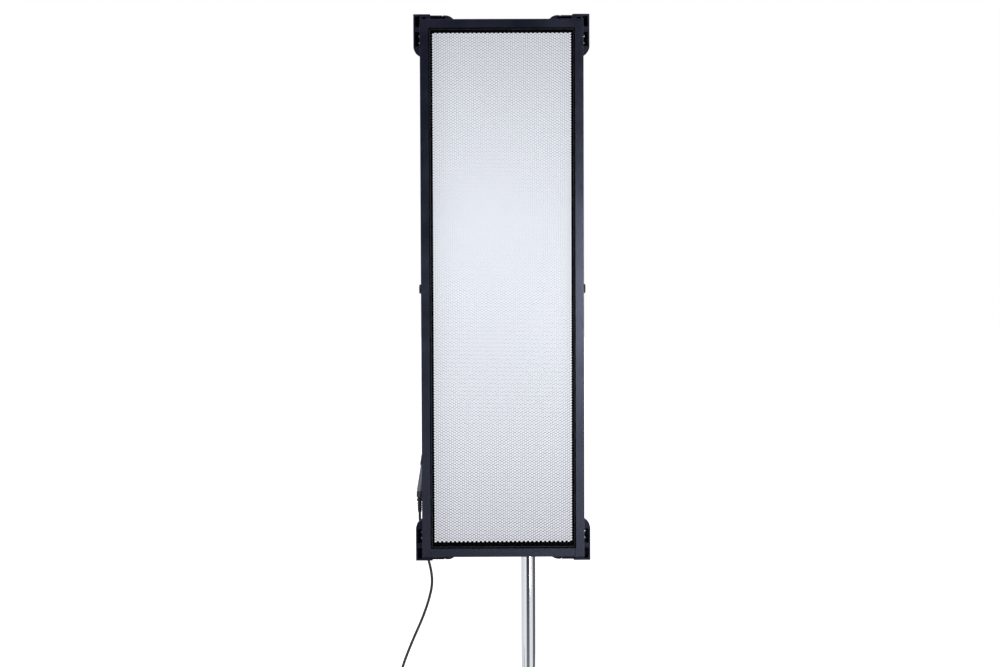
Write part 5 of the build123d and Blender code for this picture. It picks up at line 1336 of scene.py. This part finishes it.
    def build(self) -> None:
        """Dress the controller and add what is printed, lit and plugged."""
        dress(CASING_COAT, "controller_housing", "controller_lid")
        dress(SOLDER_GREEN, "control_board")
        dress(ZINC_SHEET, "power_supply")
        dress(SMOKED_ACRYLIC, "display_window")
        dress(NICKEL_STEEL, "encoder_pair")
        dress(KNOB_PLASTIC, "dim_knob", "cct_knob")
        dress(SILICONE, "menu_button", "mode_button", "preset_button")
        dress(ROCKER_PLASTIC, "power_rocker")
        dress(NICKEL_CAST, "dmx_sockets", "lead_inlet")
        self.scale("dim_knob", ("0", "2", "4", "6", "8", "10"))
        self.scale("cct_knob", ("1", "2", "3", "4", "5", "6"))
        for knob in ("dim_knob", "cct_knob"):
            self.knob_top(knob)
        self.digits()
        self.bezel()
        self.button_marks()
        self.rocker_marks()
        self.sockets()


@dataclass
class Mount:
    """The receiver, the stud, the grip head and the bars that lock them."""

    cap_length_mm: float = 13.0
    cap_wall_mm: float = 1.3
    tilt_bar_x: float = -0.0928
    tilt_bar_radius_mm: float = 5.0
    lock_bar_y: float = 0.039
    lock_bar_z: float = 0.958
    lock_bar_radius_mm: float = 4.0

    def bar_caps(self, name: str, body: str, bar_radius_mm: float, middle: Vector, along: Axis) -> None:
        """Push a moulded cap over each end of a lock bar.

        Args:
            name: the bar's node.
            body: the body that it turns with.
            bar_radius_mm: the bar's radius.
            middle: a point on the bar's axis.
            along: the bar's axis.
        """
        low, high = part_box(name)
        axis = Vector(along.value)
        number = "XYZ".index(along.name)
        radius, length = bar_radius_mm + self.cap_wall_mm, self.cap_length_mm
        outline = [
            (-0.6, 0.0), (-0.5, radius * 0.45), (-0.1, radius * 0.78), (0.6, radius * 0.95), (1.6, radius),
            (length - 3.2, radius), (length - 3.0, radius - 0.4), (length - 2.2, radius - 0.4),
            (length - 2.0, radius), (length - 0.3, radius), (length, radius - 0.3), (length, bar_radius_mm - 0.2),
        ]
        caps = []
        for end, inwards in ((high[number], -axis), (low[number], axis)):
            start = middle.copy()
            start[number] = end
            caps.append(lathe("cap", outline, start, inwards, 28))
        finish_piece(join(f"{name}_caps", caps), KNOB_PLASTIC, body)

    def build(self) -> None:
        """Dress the mount and cap its bars."""
        dress(TURNED_ALUMINIUM, "mount_receiver")
        dress(KNOB_PLASTIC, "mount_lock_knob")
        dress(NICKEL_STEEL, "mount_stud", "tilt_handle", "head_lock_handle")
        dress(CAST_CLAMP, "clamp_plate_inner", "clamp_plate_outer", "head_body")
        tilt_bar, lock_bar = Vector((self.tilt_bar_x, 0.0, 0.0)), Vector((0.0, self.lock_bar_y, self.lock_bar_z))
        self.bar_caps("tilt_handle", "tilt_handle", self.tilt_bar_radius_mm, tilt_bar, Axis.Z)
        self.bar_caps("head_lock_handle", "head_lock", self.lock_bar_radius_mm, lock_bar, Axis.X)


@dataclass
class Column:
    """The chrome column, its telescopic riser, the collar and the foot."""

    def build(self) -> None:
        """Dress the column."""
        dress(CAST_CLAMP, "column_collar")
        dress(KNOB_PLASTIC, "collar_lock_knob")
        dress(NICKEL_STEEL, "foot_spigot")
        dress(CHROME, "riser_tube", "column_tube")


def main() -> None:
    """Build the camera and the lead, then each sub-assembly, then the studio."""
    logging.basicConfig(level=logging.INFO, format="%(name)s: %(message)s")
    studio = Studio()
    studio.camera()
    Lead().build()
    for assembly in (FrontFrame(), LightChamber(), Louver(), Casing(), Controller(), Mount(), Column()):
        LOG.info("building %s", type(assembly).__name__)
        assembly.build()
    studio.build()


if __name__ == "__main__":
    main()
